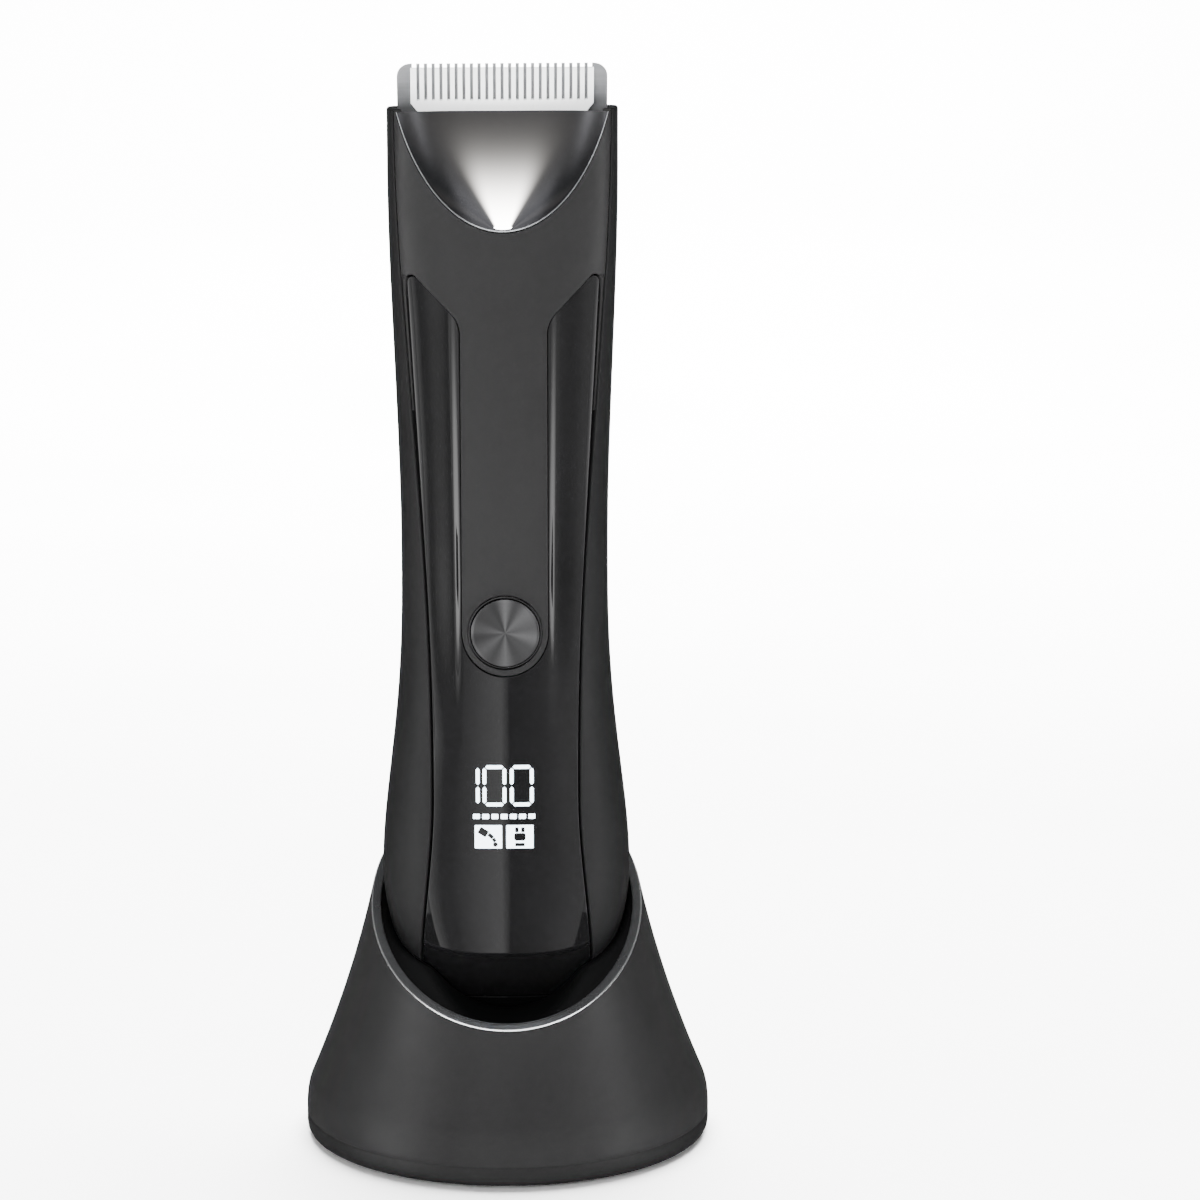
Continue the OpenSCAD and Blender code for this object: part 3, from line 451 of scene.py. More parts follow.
def finish(name, rgb, rough, metallic=0.0, grain=4000, bump=0.008, spread=0.08, cloud=60, stretch=(1, 1, 1),
           rough_spread=0.08, coat=0.0, specular=0.5, **sockets):
    """Moulded, cast or ground surface: fine grain in the bump, slow clouds in colour and roughness."""
    mat, nt, b = nodes_of(name)
    new, link = nt.nodes.new, nt.links.new
    coord = new("ShaderNodeTexCoord")
    place = new("ShaderNodeMapping")
    place.inputs["Scale"].default_value = stretch
    link(coord.outputs["Object"], place.inputs["Vector"])
    slow = noise(nt, place.outputs[0], cloud, 5)
    fine = noise(nt, place.outputs[0], grain, 3)
    mix = math_node(nt, "MULTIPLY_ADD", fine, FINE_SHARE, math_node(nt, "MULTIPLY", slow, SLOW_SHARE))
    colour = two_tone(nt, mix, tint(rgb, 1 - spread), tint(rgb, 1 + spread), CLOUD_RANGE)
    link(colour, b.inputs["Base Color"])
    rough_low = max(ROUGH_FLOOR, rough - rough_spread)
    link(remap(nt, slow, *CLOUD_RANGE, rough_low, rough + rough_spread), b.inputs["Roughness"])
    if bump > 0:
        up = new("ShaderNodeBump")
        up.inputs["Strength"].default_value = 0.5
        up.inputs["Distance"].default_value = bump * MM
        link(fine, up.inputs["Height"])
        link(up.outputs[0], b.inputs["Normal"])
    b.inputs["Metallic"].default_value = metallic
    b.inputs["Coat Weight"].default_value = coat
    b.inputs["Coat Roughness"].default_value = 0.05
    b.inputs["Specular IOR Level"].default_value = specular
    for key, value in sockets.items():
        b.inputs[key.replace("_", " ")].default_value = value
    return mat


def glow(name, rgb, strength):
    """Lit plastic with a faint unevenness."""
    mat, nt, b = nodes_of(name)
    coord = nt.nodes.new("ShaderNodeTexCoord")
    colour = two_tone(nt, noise(nt, coord.outputs["Object"], 900), tint(rgb, 0.93), tint(rgb, 1.0))
    nt.links.new(colour, b.inputs["Base Color"])
    nt.links.new(colour, b.inputs["Emission Color"])
    b.inputs["Emission Strength"].default_value = strength
    b.inputs["Roughness"].default_value = 0.3
    return mat


MATTE = finish("cover_matte", (0.0132, 0.0131, 0.0134), 0.44, grain=5200, bump=0.010, spread=0.10,
               specular=0.12)
SHELL = finish("shell_grey", (0.0085, 0.0086, 0.0089), 0.50, grain=4200, bump=0.016, spread=0.10,
               specular=0.08)
GLOSS = finish("gloss_black", (0.0035, 0.0035, 0.0038), 0.022, grain=700, bump=0.0, spread=0.2,
               rough_spread=0.004, cloud=140, specular=0.2)
STAND = finish("stand_matte", (0.0126, 0.0125, 0.0129), 0.42, grain=4600, bump=0.012, spread=0.09,
               specular=0.10)
RIM = finish("stand_rim", (0.12, 0.123, 0.127), 0.30, metallic=0.85, grain=3200, bump=0.010, spread=0.12)
RIM_LINE = finish("stand_rim_line", (0.62, 0.63, 0.64), 0.22, metallic=0.95, grain=3200, bump=0.004,
                  spread=0.06)
CUP = finish("cup_black", (0.003, 0.003, 0.0032), 0.45, grain=3000, bump=0.01, specular=0.10)
# the base's own plastic; the stand's foot band below the groove wears it too, as painted shade for its
# shadowed underside
BASE_AND_FOOT_SHADE = finish("base_plastic", (0.008, 0.008, 0.0083), 0.55, grain=2500, bump=0.03, specular=0.15)
RUBBER = finish("foot_rubber", (0.012, 0.012, 0.012), 0.8, grain=1500, bump=0.06, spread=0.2, specular=0.2)
STEEL = finish("blade_steel", (0.20, 0.204, 0.212), 0.42, metallic=0.30, grain=900, bump=0.004, spread=0.12,
               stretch=(0.12, 3, 3), cloud=300)
CERAMIC = finish("ceramic", (0.92, 0.93, 0.93), 0.28, grain=2600, bump=0.003, spread=0.03, coat=0.3)
SCREW = finish("screw_steel", (0.55, 0.56, 0.57), 0.28, metallic=1.0, grain=2400, bump=0.01, spread=0.1)
BRASS = finish("contact_brass", (0.78, 0.57, 0.25), 0.25, metallic=1.0, grain=3000, bump=0.006)
ZINC = finish("ballast_zinc", (0.42, 0.43, 0.44), 0.45, metallic=0.9, grain=500, bump=0.02, spread=0.2)
BOARD = finish("board_green", (0.012, 0.085, 0.035), 0.35, grain=900, bump=0.01, spread=0.3)
INLET = finish("inlet_black", (0.005, 0.005, 0.0055), 0.38, grain=2600, bump=0.01, specular=0.25)
WIRE = finish("wire_pvc", (0.32, 0.03, 0.03), 0.4, grain=1500, bump=0.01)
PALE = finish("module_white", (0.72, 0.72, 0.69), 0.5, grain=2200, bump=0.01, spread=0.05)
CHIP = finish("chip_black", (0.02, 0.02, 0.022), 0.5, grain=3500, bump=0.02)
GREY = finish("chassis_grey", (0.09, 0.095, 0.10), 0.55, grain=2400, bump=0.03)
WRAP = finish("cell_wrap", (0.03, 0.16, 0.36), 0.3, grain=300, bump=0.02, spread=0.12, coat=0.4)
MAGNET = finish("magnet", (0.05, 0.05, 0.055), 0.6, metallic=0.4, grain=1500, bump=0.05, spread=0.25)
NYLON = finish("nylon", (0.70, 0.67, 0.58), 0.45, grain=2000, bump=0.01, spread=0.05, Subsurface_Weight=0.15)
COPPER = finish("armature", (0.30, 0.13, 0.06), 0.4, metallic=0.8, grain=900, bump=0.06, spread=0.3,
                stretch=(1, 1, 6))
SEAL = finish("seal_rubber", (0.07, 0.07, 0.075), 0.75, grain=1800, bump=0.03)
BEZEL = finish("bezel_black", (0.0025, 0.0025, 0.003), 0.08, grain=900, bump=0.0, rough_spread=0.02,
               specular=0.3)
LIT = glow("display_white", (0.80, 0.92, 1.0), 4.2)
LAMP = glow("lens_white", (1.0, 1.0, 1.0), 14.0)

# painted sheen on the turned button: highlights painted into its colour round its face: (degrees from the
# left, through the bottom; grey)
PAINTED_SHEEN_SPOKES = [(0, 0.20), (360, 0.20), (12, 0.10), (34, 0.24), (48, 0.18), (66, 0.07), (86, 0.24), (94, 0.24),
          (110, 0.07), (135, 0.16), (150, 0.11), (168, 0.24), (180, 0.16), (196, 0.12), (222, 0.28),
          (236, 0.18), (252, 0.06), (266, 0.30), (274, 0.30), (288, 0.05), (306, 0.14), (330, 0.10),
          (350, 0.26)]
PAINTED_SHEEN_LEVEL = 0.5


def spun_metal():
    """Metal turned about the button's axis, with fine rings and a painted sheen that fans out: highlights
    painted into the base colour by angle.
    """
    mat, nt, b = nodes_of("button_metal")
    new, link = nt.nodes.new, nt.links.new

    def vector_node(op, vector, other=None):
        n = new("ShaderNodeVectorMath")
        n.operation = op
        link(vector, n.inputs[0])
        if other:
            n.inputs[1].default_value = other
        return n.outputs["Value" if op == "LENGTH" else "Vector"]

    coord = new("ShaderNodeTexCoord")
    shift = vector_node("SUBTRACT", coord.outputs["Object"], (0, 0, BUTTON_Z * MM))
    flat = vector_node("MULTIPLY", shift, (1, 0, 1))
    # fine concentric turning marks
    rings = new("ShaderNodeTexNoise")
    rings.noise_dimensions = "1D"
    rings.inputs["Scale"].default_value = 9000
    rings.inputs["Detail"].default_value = 3
    link(vector_node("LENGTH", flat), rings.inputs["W"])
    # painted sheen: highlights painted into the base colour, fanning out from the middle by angle
    parts = new("ShaderNodeSeparateXYZ")
    link(flat, parts.inputs[0])
    angle = math_node(nt, "ARCTAN2", parts.outputs["Z"], parts.outputs["X"])
    fan = new("ShaderNodeValToRGB")
    fan.color_ramp.interpolation = "B_SPLINE"
    levels = [(degrees / 360, grey * PAINTED_SHEEN_LEVEL) for degrees, grey in PAINTED_SHEEN_SPOKES]
    fill_ramp(fan.color_ramp, [(at, (level, level, level * 1.02, 1)) for at, level in levels])
    link(remap(nt, angle, -math.pi, math.pi), fan.inputs[0])
    marks = two_tone(nt, rings.outputs["Fac"], (0.72, 0.72, 0.72, 1), (1, 1, 1, 1))
    both = new("ShaderNodeMixRGB")
    both.blend_type = "MULTIPLY"
    both.inputs[0].default_value = 1.0
    link(fan.outputs[0], both.inputs[1])
    link(marks, both.inputs[2])
    link(both.outputs[0], b.inputs["Base Color"])
    up = new("ShaderNodeBump")
    up.inputs["Strength"].default_value = 0.25
    up.inputs["Distance"].default_value = 0.00001
    link(rings.outputs["Fac"], up.inputs["Height"])
    link(up.outputs[0], b.inputs["Normal"])
    round_way = vector_node("CROSS_PRODUCT", flat, (0, 1, 0))
    link(vector_node("NORMALIZE", round_way), b.inputs["Tangent"])
    b.inputs["Metallic"].default_value = 1.0
    b.inputs["Roughness"].default_value = 0.34
    b.inputs["Anisotropic"].default_value = 0.85
    return mat


SPUN = spun_metal()


# the lamp's fan of light, painted on the scoop as glow, one row for each part of it: the slants at which it
# starts and is full, its length in mm and how sharply it ends, its strength
PAINTED_GLOW_FAN = [((0.70, 0.18), (5.5, 1.9), 16.0), ((0.84, 0.12), (11.0, 2.2), 0.62),
       ((1.30, 0.20), (24.0, 2.2), 0.075)]
LAMP_HALF_W, LAMP_UP = 0.95, 0.3


def scoop_metal():
    """Gunmetal reflector. The lamp's fan of light is painted on it as glow, running up from the lens."""
    mat, nt, b = nodes_of("scoop_gunmetal")
    new, link = nt.nodes.new, nt.links.new

    def maths(op, *values):
        return math_node(nt, op, *values)

    def fade(value, none, full):
        return remap(nt, value, none, full, kind="SMOOTHERSTEP")

    def decay(value, length, power):
        up = maths("POWER", maths("DIVIDE", value, length), power)
        return maths("POWER", 2.718, maths("MULTIPLY", up, -1.0))

    coord = new("ShaderNodeTexCoord")
    split = new("ShaderNodeSeparateXYZ")
    link(coord.outputs["Object"], split.inputs[0])
    x = maths("ABSOLUTE", maths("MULTIPLY", split.outputs["X"], 1000.0))
    z = maths("SUBTRACT", maths("MULTIPLY", split.outputs["Z"], 1000.0), SCOOP_Z + LAMP_UP)
    z = maths("MAXIMUM", z, LAMP_UP)
    slant = maths("DIVIDE", maths("MAXIMUM", maths("SUBTRACT", x, LAMP_HALF_W), 0.0), z)
    fan = 0.0
    for slants, reach, strength in PAINTED_GLOW_FAN:
        part = maths("MULTIPLY", fade(slant, *slants), decay(z, *reach))
        fan = maths("ADD", fan, maths("MULTIPLY", part, strength))
    # two faint wings of painted glow beside the fan
    wing = maths("MULTIPLY", fade(slant, 2.1, 1.6), fade(slant, 1.15, 1.6))
    wing = maths("MULTIPLY", wing, decay(z, 8.0, 2.0))
    fan = maths("ADD", fan, maths("MULTIPLY", wing, 0.03))
    # how far out a point lies, 1 at the mouth's lip, which doesn't glow
    across = maths("POWER", maths("DIVIDE", x, SCOOP_W - SCOOP_GAP), 2.0)
    up_z = maths("SUBTRACT", maths("MULTIPLY", split.outputs["Z"], 1000.0), SCOOP_Z + SCOOP_H)
    along = maths("POWER", maths("DIVIDE", up_z, SCOOP_H - SCOOP_GAP), 2.0)
    rho = maths("SQRT", maths("ADD", across, along))
    fan = maths("MULTIPLY", fan, fade(rho, 0.990, 0.980))
    # painted light: the fan glows from the scoop's own surface
    link(fan, b.inputs["Emission Strength"])
    b.inputs["Emission Color"].default_value = (1.0, 0.965, 0.92, 1)
    soft = noise(nt, coord.outputs["Object"], 500)
    metal = two_tone(nt, soft, (0.018, 0.018, 0.020, 1), (0.025, 0.025, 0.027, 1))
    # the mouth's lip is polished bright
    lip = new("ShaderNodeMixRGB")
    lip.inputs[2].default_value = (0.30, 0.31, 0.32, 1)
    link(fade(rho, 0.992, 0.997), lip.inputs[0])
    link(metal, lip.inputs[1])
    link(lip.outputs[0], b.inputs["Base Color"])
    b.inputs["Metallic"].default_value = 0.9
    b.inputs["Roughness"].default_value = 0.30
    return mat


SCOOP = scoop_metal()


def wear(obj, *mats):
    obj.data.materials.clear()
    for mat in mats:
        obj.data.materials.append(mat)


# ---------------------------------------------------------------- casing outlines

levels = np.linspace(CAP_TOP, CHANNEL_TOP - 1.5, 90)
panel_edge = [(float(seam_x(z) - side_gap(z)), float(z)) for z in levels]
run = TIP_IN * 0.96
corner = (BAND_W, CHANNEL_TOP - TIP_IN)


def band_run(grow):
    """Where the band's side meets the channel's slanted end, and a point further out along that end."""
    r = BAND_W + grow
    slope = np.array([run, TIP_IN]) / math.hypot(run, TIP_IN)
    c = np.array([r, corner[1] - grow * (1 - slope[1]) / slope[0]])
    far = c + slope * 12
    return c, far


c0, far0 = band_run(SEAM)
tip_z = CHANNEL_TOP + 0.15
edge_x = float(seam_x(tip_z) - side_gap(tip_z))
slope = (far0 - c0) / np.linalg.norm(far0 - c0)
tip = c0 + slope * (edge_x - c0[0]) / slope[0]
side = rounded([panel_edge[-12], tuple(tip), tuple(c0), (c0[0], BUTTON_Z)], [1.0, 5.0], 14)
right_side = panel_edge[:-12] + side
bottom_mid = (0.0, CAP_TOP)
arc_up = arc(0, BUTTON_Z, BAND_W + SEAM, 0, -90, 40)
right_loop = [bottom_mid] + right_side[:-1] + arc_up
panel_loop = mirrored(right_loop)
panel = plate("gloss_panel_skin", [panel_loop], on_panel, "handle", step=(0.33, 1.1), edge_step=0.3,
              fillet=0.22, depth=1.3)
wear(panel, GLOSS)
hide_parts("gloss_panel")

# matte cover: band, head and the strips beside the channel tips
c1 = band_run(0.0)[0]
tip_c = np.array(tip) + np.array([SEAM * 0.9, SEAM * 0.9])
strip = [(float(seam_x(z) - side_gap(z) + SEAM), float(z)) for z in np.linspace(CHANNEL_TOP - 2, STRIP_Z, 30)]
inner_run = rounded([(BAND_W, BUTTON_Z), tuple(c1), tuple(tip_c), strip[2], strip[6]], [5.0, 1.1, 0], 14)
outer = [(float(seam_x(z) - SEAM / 2), float(z)) for z in np.linspace(STRIP_Z, HEAD_Z - 0.05, 70)]


def scoop_edge(grow, top):
    """Right edge of the scoop's mouth, from the height top down to its lowest point."""
    a_top = math.degrees(math.acos(1 - (top - SCOOP_Z) / SCOOP_H))
    return [((SCOOP_W + grow) * math.sin(math.radians(a)),
             SCOOP_Z + SCOOP_H - (SCOOP_H + grow) * math.cos(math.radians(a)))
            for a in np.linspace(a_top, 0, 60)]


under_button = arc(0, BUTTON_Z, BAND_W, -90, 0, 40)[:-1]
cover_right = under_button + inner_run + strip[7:] + outer + scoop_edge(0, HEAD_Z - 0.05)
cover_loop = mirrored(cover_right)
hole = np.array(arc(0, BUTTON_Z, BUTTON_HOLE, 0, 355, 72))


def on_cover(u, v):
    """The thin strips beside the channel tips lie low, so they read as a groove."""
    p = on_front(u, v)
    past = ease((np.abs(u) - (seam_x(v) - side_gap(v) - 0.1)) / 0.2)
    low = past * ease((CHANNEL_TOP + 0.6 - v) / 1.2)
    return p + np.stack([0 * u, STRIP_SINK * low, 0 * u], -1)


cover = plate("front_cover_skin", [cover_loop, hole], on_cover, "handle", step=(0.7, 0.9), edge_step=0.3,
              fillet=0.16, depth=1.5)
wear(cover, MATTE)
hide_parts("front_cover")

# rear shell, laid out by angle about the middle line
WINDOW_Z, WINDOW_W = HEAD_Z - 12.4, 17.42


def seam_u(z):
    """The seam in the handle's own layout, see on_handle."""
    z = np.asarray(z, float)
    x = seam_x(z) + SEAM / 2
    return np.arctan2(front_y(x, z) - MID_Y, x) * POLAR_R


def window_u(z):
    """Where the rear shell's side reaches the half width WINDOW_W."""
    lo, hi = 5.0, 1.5 * POLAR_R
    for _ in range(40):
        mid = (lo + hi) / 2
        if on_handle(np.array([mid]), np.array([z]))[0][0] > WINDOW_W:
            lo = mid
        else:
            hi = mid
    return lo


zs = np.linspace(CAP_TOP, HEAD_Z, 150)
full = math.pi * POLAR_R
right_seam = [(float(seam_u(z)), float(z)) for z in zs]
win = [(window_u(z), float(z)) for z in np.linspace(HEAD_Z, WINDOW_Z, 16)]
win_low = rounded([win[-2], win[-1], (full / 2, WINDOW_Z)], [1.6], 8)
half_loop = right_seam + win[:-2] + win_low
rear_loop = np.array(half_loop + [(full - u, z) for u, z in half_loop[::-1][1:]])
rear = plate("rear_shell_skin", [rear_loop], on_handle, "handle", step=(0.8, 1.3), edge_step=0.45,
             fillet=0.22, depth=1.5)
wear(rear, SHELL)
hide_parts("rear_shell")

# light scoop: a leaning bed whose sides sweep up to the mouth
mouth = np.array(scoop_edge(-SCOOP_GAP, HEAD_Z - LIP_DROP))


def on_scoop(u, v):
    """The leaning bed, which sweeps up to the front surface near the mouth's edge."""
    u, v = np.asarray(u, float), np.asarray(v, float)
    low_y = MID_Y - (HEAD_FRONT - 2.6)
    t = (v - SCOOP_Z) / (HEAD_Z + 0.4 - SCOOP_Z)
    bed = low_y + (LIP_BACK - 1 - low_y) * t - 1.1 * (u / 17.0) ** 2 * np.clip(t, 0, 1)
    edge = front_y(np.clip(u, -18.3, 18.3), v) + 0.12
    rho = np.sqrt((u / (SCOOP_W - SCOOP_GAP)) ** 2 + ((v - SCOOP_Z - SCOOP_H) / (SCOOP_H - SCOOP_GAP)) ** 2)
    return np.stack([u, bed + (edge - bed) * np.clip(rho, 0, 1) ** 9, v], -1)


scoop_loop = mirrored(list(mouth[::-1]) + [(0.0, HEAD_Z - LIP_DROP)])
scoop = plate("light_scoop_skin", [scoop_loop], on_scoop, "handle", step=(0.4, 0.4), edge_step=0.3,
              fillet=0.08, depth=0.7, turns=3)
wear(scoop, SCOOP)
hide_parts("light_scoop")


def on_lens(u, v):
    p = on_scoop(u, v)
    r = (u / 1.5) ** 2 + ((v - LENS_Z) / 0.45) ** 2
    return p - np.stack([0 * u, 0.04 + 0.12 * np.clip(1 - r, 0, 1), 0 * u], -1)


lens_loop = [(LENS_W * math.cos(a), LENS_Z + LENS_H * math.sin(a)) for a in np.linspace(0, 6.2, 40)]
lens = plate("led_dome", [lens_loop], on_lens, "handle", step=(0.25, 0.25), edge_step=0.2, fillet=0.05,
             depth=0.25, turns=2)
wear(lens, LAMP)
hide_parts("led_lens")

# ---------------------------------------------------------------- display marks

DIGITS_Z = BELLY_Z + 16.2
MARK_LIFT, BAR_W = 0.06, 0.62
DIGIT_X, DIGIT_Y, FLAT_BAR, UP_BAR = 1.65, 3.1, 3.02, 2.82
CHARGE_X, CHARGE_PITCH, CHARGE_DROP = -4.9, 1.52, 5.1


def on_marks(u, v):
    p = on_panel(u, v)
    return p + normals(on_front, u, v) * MARK_LIFT


def turned(points, cx, cz, degrees):
    """Turns a loop about its own middle and moves it to (cx, cz)."""
    a = math.radians(degrees)
    rot = np.array([[math.cos(a), math.sin(a)], [-math.sin(a), math.cos(a)]])
    return np.array(points) @ rot + np.array([cx, cz])


def bar_loop(cx, cz, turn, length):
    """One bar of a digit, pointed at both ends."""
    h, w = length / 2, BAR_W / 2
    return turned([(-h, 0), (-h + w, -w), (h - w, -w), (h, 0), (h - w, w), (-h + w, w)], cx, cz, turn)


def box_loop(cx, cz, w, h, r=0.0, turn=0.0):
    p = [(-w / 2, -h / 2), (w / 2, -h / 2), (w / 2, h / 2), (-w / 2, h / 2)]
    if r:
        q = []
        for (x, z), a0 in zip(p, (180, 270, 0, 90)):
            q += arc(x - math.copysign(r, x), z - math.copysign(r, z), r, a0, a0 + 90, 5)
        p = q
    return turned(p, cx, cz, turn)


marks = []


def mark(loops, tag):
    m = plate("mark_%s_%02d" % (tag, len(marks)), loops, on_marks, "handle", step=(0.3, 0.3), edge_step=0.25,
              fillet=0.02, depth=0.4, turns=1)
    wear(m, LIT)
    marks.append(m)
    return m


def digit(cx, lit):
    """The six outer bars of a digit, clockwise from the top."""
    x, y = DIGIT_X, DIGIT_Y
    places = [(0, y, 0, FLAT_BAR), (x, y / 2, 90, UP_BAR), (x, -y / 2, 90, UP_BAR), (0, -y, 0, FLAT_BAR),
              (-x, -y / 2, 90, UP_BAR), (-x, y / 2, 90, UP_BAR)]
    return [mark([bar_loop(cx + dx, DIGITS_Z + dz, turn, length)], "digit")
            for (dx, dz, turn, length), on in zip(places, lit) if on]


digit_pieces = digit(-6.3, (0, 1, 1, 0, 0, 0)) + digit(-1.9, (1,) * 6) + digit(2.6, (1,) * 6)
bar_pieces = [mark([box_loop(CHARGE_X + i * CHARGE_PITCH, DIGITS_Z - CHARGE_DROP, 1.14, 0.84, 0.15)], "bar")
              for i in range(7)]
# two tiles with a water drop and a plug cut out of them
icon_z = DIGITS_Z - 8.5
left_x, right_x = -2.95, 2.25
drop = [box_loop(left_x - 0.85, icon_z + 0.80, 1.55, 1.15, 0.12, -32),
        box_loop(left_x + 0.38, icon_z + 0.14, 1.00, 0.62, 0.1, -42),
        box_loop(left_x + 0.95, icon_z - 0.52, 0.66, 0.56, 0.1, -58),
        np.array(arc(left_x + 1.15, icon_z - 1.28, 0.40, 0, 330, 12))]
plug = [box_loop(right_x, icon_z - 0.02, 1.9, 1.30, 0.40),
        box_loop(right_x - 0.5, icon_z + 1.16, 0.58, 0.84, 0.1),
        box_loop(right_x + 0.5, icon_z + 1.16, 0.58, 0.84, 0.1),
        box_loop(right_x, icon_z - 1.32, 1.6, 0.56, 0.1)]
icon_pieces = [mark([box_loop(x, icon_z, 4.5, 3.9, 0.15)] + holes, "icon")
               for x, holes in ((left_x, drop), (right_x, plug))]
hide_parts("display_digits")
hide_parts("charge_bar")
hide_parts("status_icons")

# ---------------------------------------------------------------- button


def lathe_y(name, profile, centre_z, body, count=128, close=True):
    """Turns (radius, y) points about the line x = 0, z = centre_z."""
    verts, faces = [], []
    prof = np.array(profile, float)
    rows = len(prof)
    for i in range(count):
        a = 2 * math.pi * i / count
        for r, y in prof:
            verts.append((r * math.cos(a), y, centre_z + r * math.sin(a)))
    for i in range(count):
        j = (i + 1) % count
        for k in range(rows - 1):
            faces.append([i * rows + k, i * rows + k + 1, j * rows + k + 1, j * rows + k])
        if close:
            faces.append([i * rows + rows - 1, i * rows, j * rows, j * rows + rows - 1])
    return add_object(name, verts, faces, body)


def bend(a, p, b, t):
    """A point on the curve that leaves a towards p and reaches b from p."""
    return (1 - t) ** 2 * a + 2 * t * (1 - t) * p + t * t * b


def soft_corner(a, p, b, r, n=5):
    """The corner p between a and b, rounded over the distance r."""
    a, p, b = (np.array(q, float) for q in (a, p, b))
    s = p + (a - p) / np.linalg.norm(a - p) * r
    e = p + (b - p) / np.linalg.norm(b - p) * r
    return [tuple(bend(s, p, e, t)) for t in np.linspace(0, 1, n)]


BUTTON_PROUD, DISH_R, DISH_DEEP, FLANGE_R = 0.45, 5.2, 0.22, 6.5
face_y = float(MID_Y - front_d(np.array(BUTTON_Z)) - BUTTON_PROUD)
lo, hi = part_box("power_button")
back_y = hi.y / MM
dish = [(r, face_y + DISH_DEEP * (1 - (r / DISH_R) ** 2)) for r in np.linspace(0.01, DISH_R, 24)]
prof = dish + soft_corner(dish[-1], (BUTTON_R, face_y), (BUTTON_R, back_y), 0.22)
prof += [(BUTTON_R, back_y - 0.62), (FLANGE_R, back_y - 0.6), (FLANGE_R, back_y - 0.02),
         (0.01, back_y - 0.02)]
button = lathe_y("button_cap", prof, BUTTON_Z, "button", close=False)
wear(button, SPUN)
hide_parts("power_button")
lo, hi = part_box("button_bezel")
ring_front, ring_back = lo.y / MM, hi.y / MM
ring = soft_corner((BEZEL_IN, ring_back), (BEZEL_IN, ring_front), (BEZEL_OUT, ring_front), 0.12)
ring += soft_corner((BEZEL_IN, ring_front), (BEZEL_OUT, ring_front), (BEZEL_OUT, ring_back), 0.14)
ring += [(BEZEL_OUT, ring_back), (BEZEL_IN, ring_back)]
bezel = lathe_y("bezel_ring", ring, BUTTON_Z, "handle")
wear(bezel, BEZEL)
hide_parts("button_bezel")

# ---------------------------------------------------------------- stand

STAND_R, STAND_WALL, RIM_FRONT_Z, RIM_SLOPE, SHOULDER = 34.4, 1.6, 25.2, 33.4, 9.0
RIM_W, RIM_OUT_ROUND, RIM_IN_ROUND, FOOT_ROWS = 1.75, 0.42, 0.25, 9


def flare_r(z):
    """Outer radius of the stand above its shoulder."""
    u = z - SHOULDER
    return STAND_R - 0.5 - 0.43 * u + 0.003 * u * u


FRONT_Y = -float(flare_r(RIM_FRONT_Z))
TAN = math.tan(math.radians(RIM_SLOPE))


def rim_z(angle, sunk=0.0, inset=0.0):
    """Height at which the slanting plane meets the flare; the angle is from the front towards +X."""
    z = 30.0
    for _ in range(60):
        r = flare_r(z) - inset
        z = RIM_FRONT_Z - sunk / math.cos(math.radians(RIM_SLOPE)) + (-r * math.cos(angle) - FRONT_Y) * TAN
    return z


def stand_point(r, angle, z):
    return np.array([r * math.sin(angle), -r * math.cos(angle), z])


COLS = 288
plane_n = np.array([0, -math.sin(math.radians(RIM_SLOPE)), math.cos(math.radians(RIM_SLOPE))])
# the foot and the wall below the shoulder: (how far inside STAND_R, height)
low_profile = [(STAND_WALL + 0.4, 0.75), (1.15, 0.62), (0.85, 0.66), (0.45, 0.95), (0.12, 1.55), (0, 2.3),
               (0, 3.0), (0, 3.55), (0.16, 3.75), (0.16, 3.95), (0, 4.15), (0.01, 5.0), (0.06, 6.2),
               (0.18, 7.4), (0.42, 8.6)]
verts, faces, face_mat = [], [], []
for i in range(COLS):
    a = 2 * math.pi * i / COLS
    column = [stand_point(STAND_R - gap, a, z) for gap, z in low_profile]
    zr = rim_z(a)
    corner_o = stand_point(flare_r(zr), a, zr)
    inward_dir = stand_point(-1, a, 0)
    flat_in = inward_dir - plane_n * float(inward_dir @ plane_n)
    flat_in /= np.linalg.norm(flat_in)
    below = stand_point(flare_r(zr - 1), a, zr - 1)
    down = (below - corner_o) / np.linalg.norm(below - corner_o)
    top_z = zr - 0.5
    for t in np.linspace(0, 1, 40):
        z = SHOULDER + 0.6 + (top_z - SHOULDER - 0.6) * t
        column.append(stand_point(flare_r(z), a, z))
    f, g = RIM_OUT_ROUND, RIM_IN_ROUND
    column += [bend(corner_o + down * f, corner_o, corner_o + flat_in * f, t) for t in np.linspace(0, 1, 6)]
    mark_rim = len(column)
    inner_c = corner_o + flat_in * RIM_W
    for t in (0.33, 0.66):
        column.append(corner_o + flat_in * (f + (RIM_W - g - f) * t))
    column += [bend(inner_c - flat_in * g, inner_c, inner_c + down * g, t) for t in np.linspace(0, 1, 5)]
    mark_in = len(column)
    for t in (1.2, 2.4, 4.2):
        z = zr - t * 0.9
        column.append(stand_point(flare_r(z) - STAND_WALL - 0.1, a, z))
    rows = len(column)
    verts += column


def stand_look(k):
    """Which of the stand's materials the faces above row k wear; the foot band below the groove wears the
    darker base colour as painted shade.
    """
    # painted shade: the foot band below the groove is darker than the wall above
    if k < FOOT_ROWS:
        return 2
    if mark_rim - 4 <= k < mark_rim - 2:
        return 3
    return 1 if mark_rim - 2 <= k < mark_in - 2 else 0


for i in range(COLS):
    j = (i + 1) % COLS
    for k in range(rows - 1):
        faces.append([i * rows + k, j * rows + k, j * rows + k + 1, i * rows + k + 1])
        face_mat.append(stand_look(k))
stand = add_object("stand_body", np.array(verts), faces, "stand")
wear(stand, STAND, RIM, BASE_AND_FOOT_SHADE, RIM_LINE)
stand.data.polygons.foreach_set("material_index", face_mat)

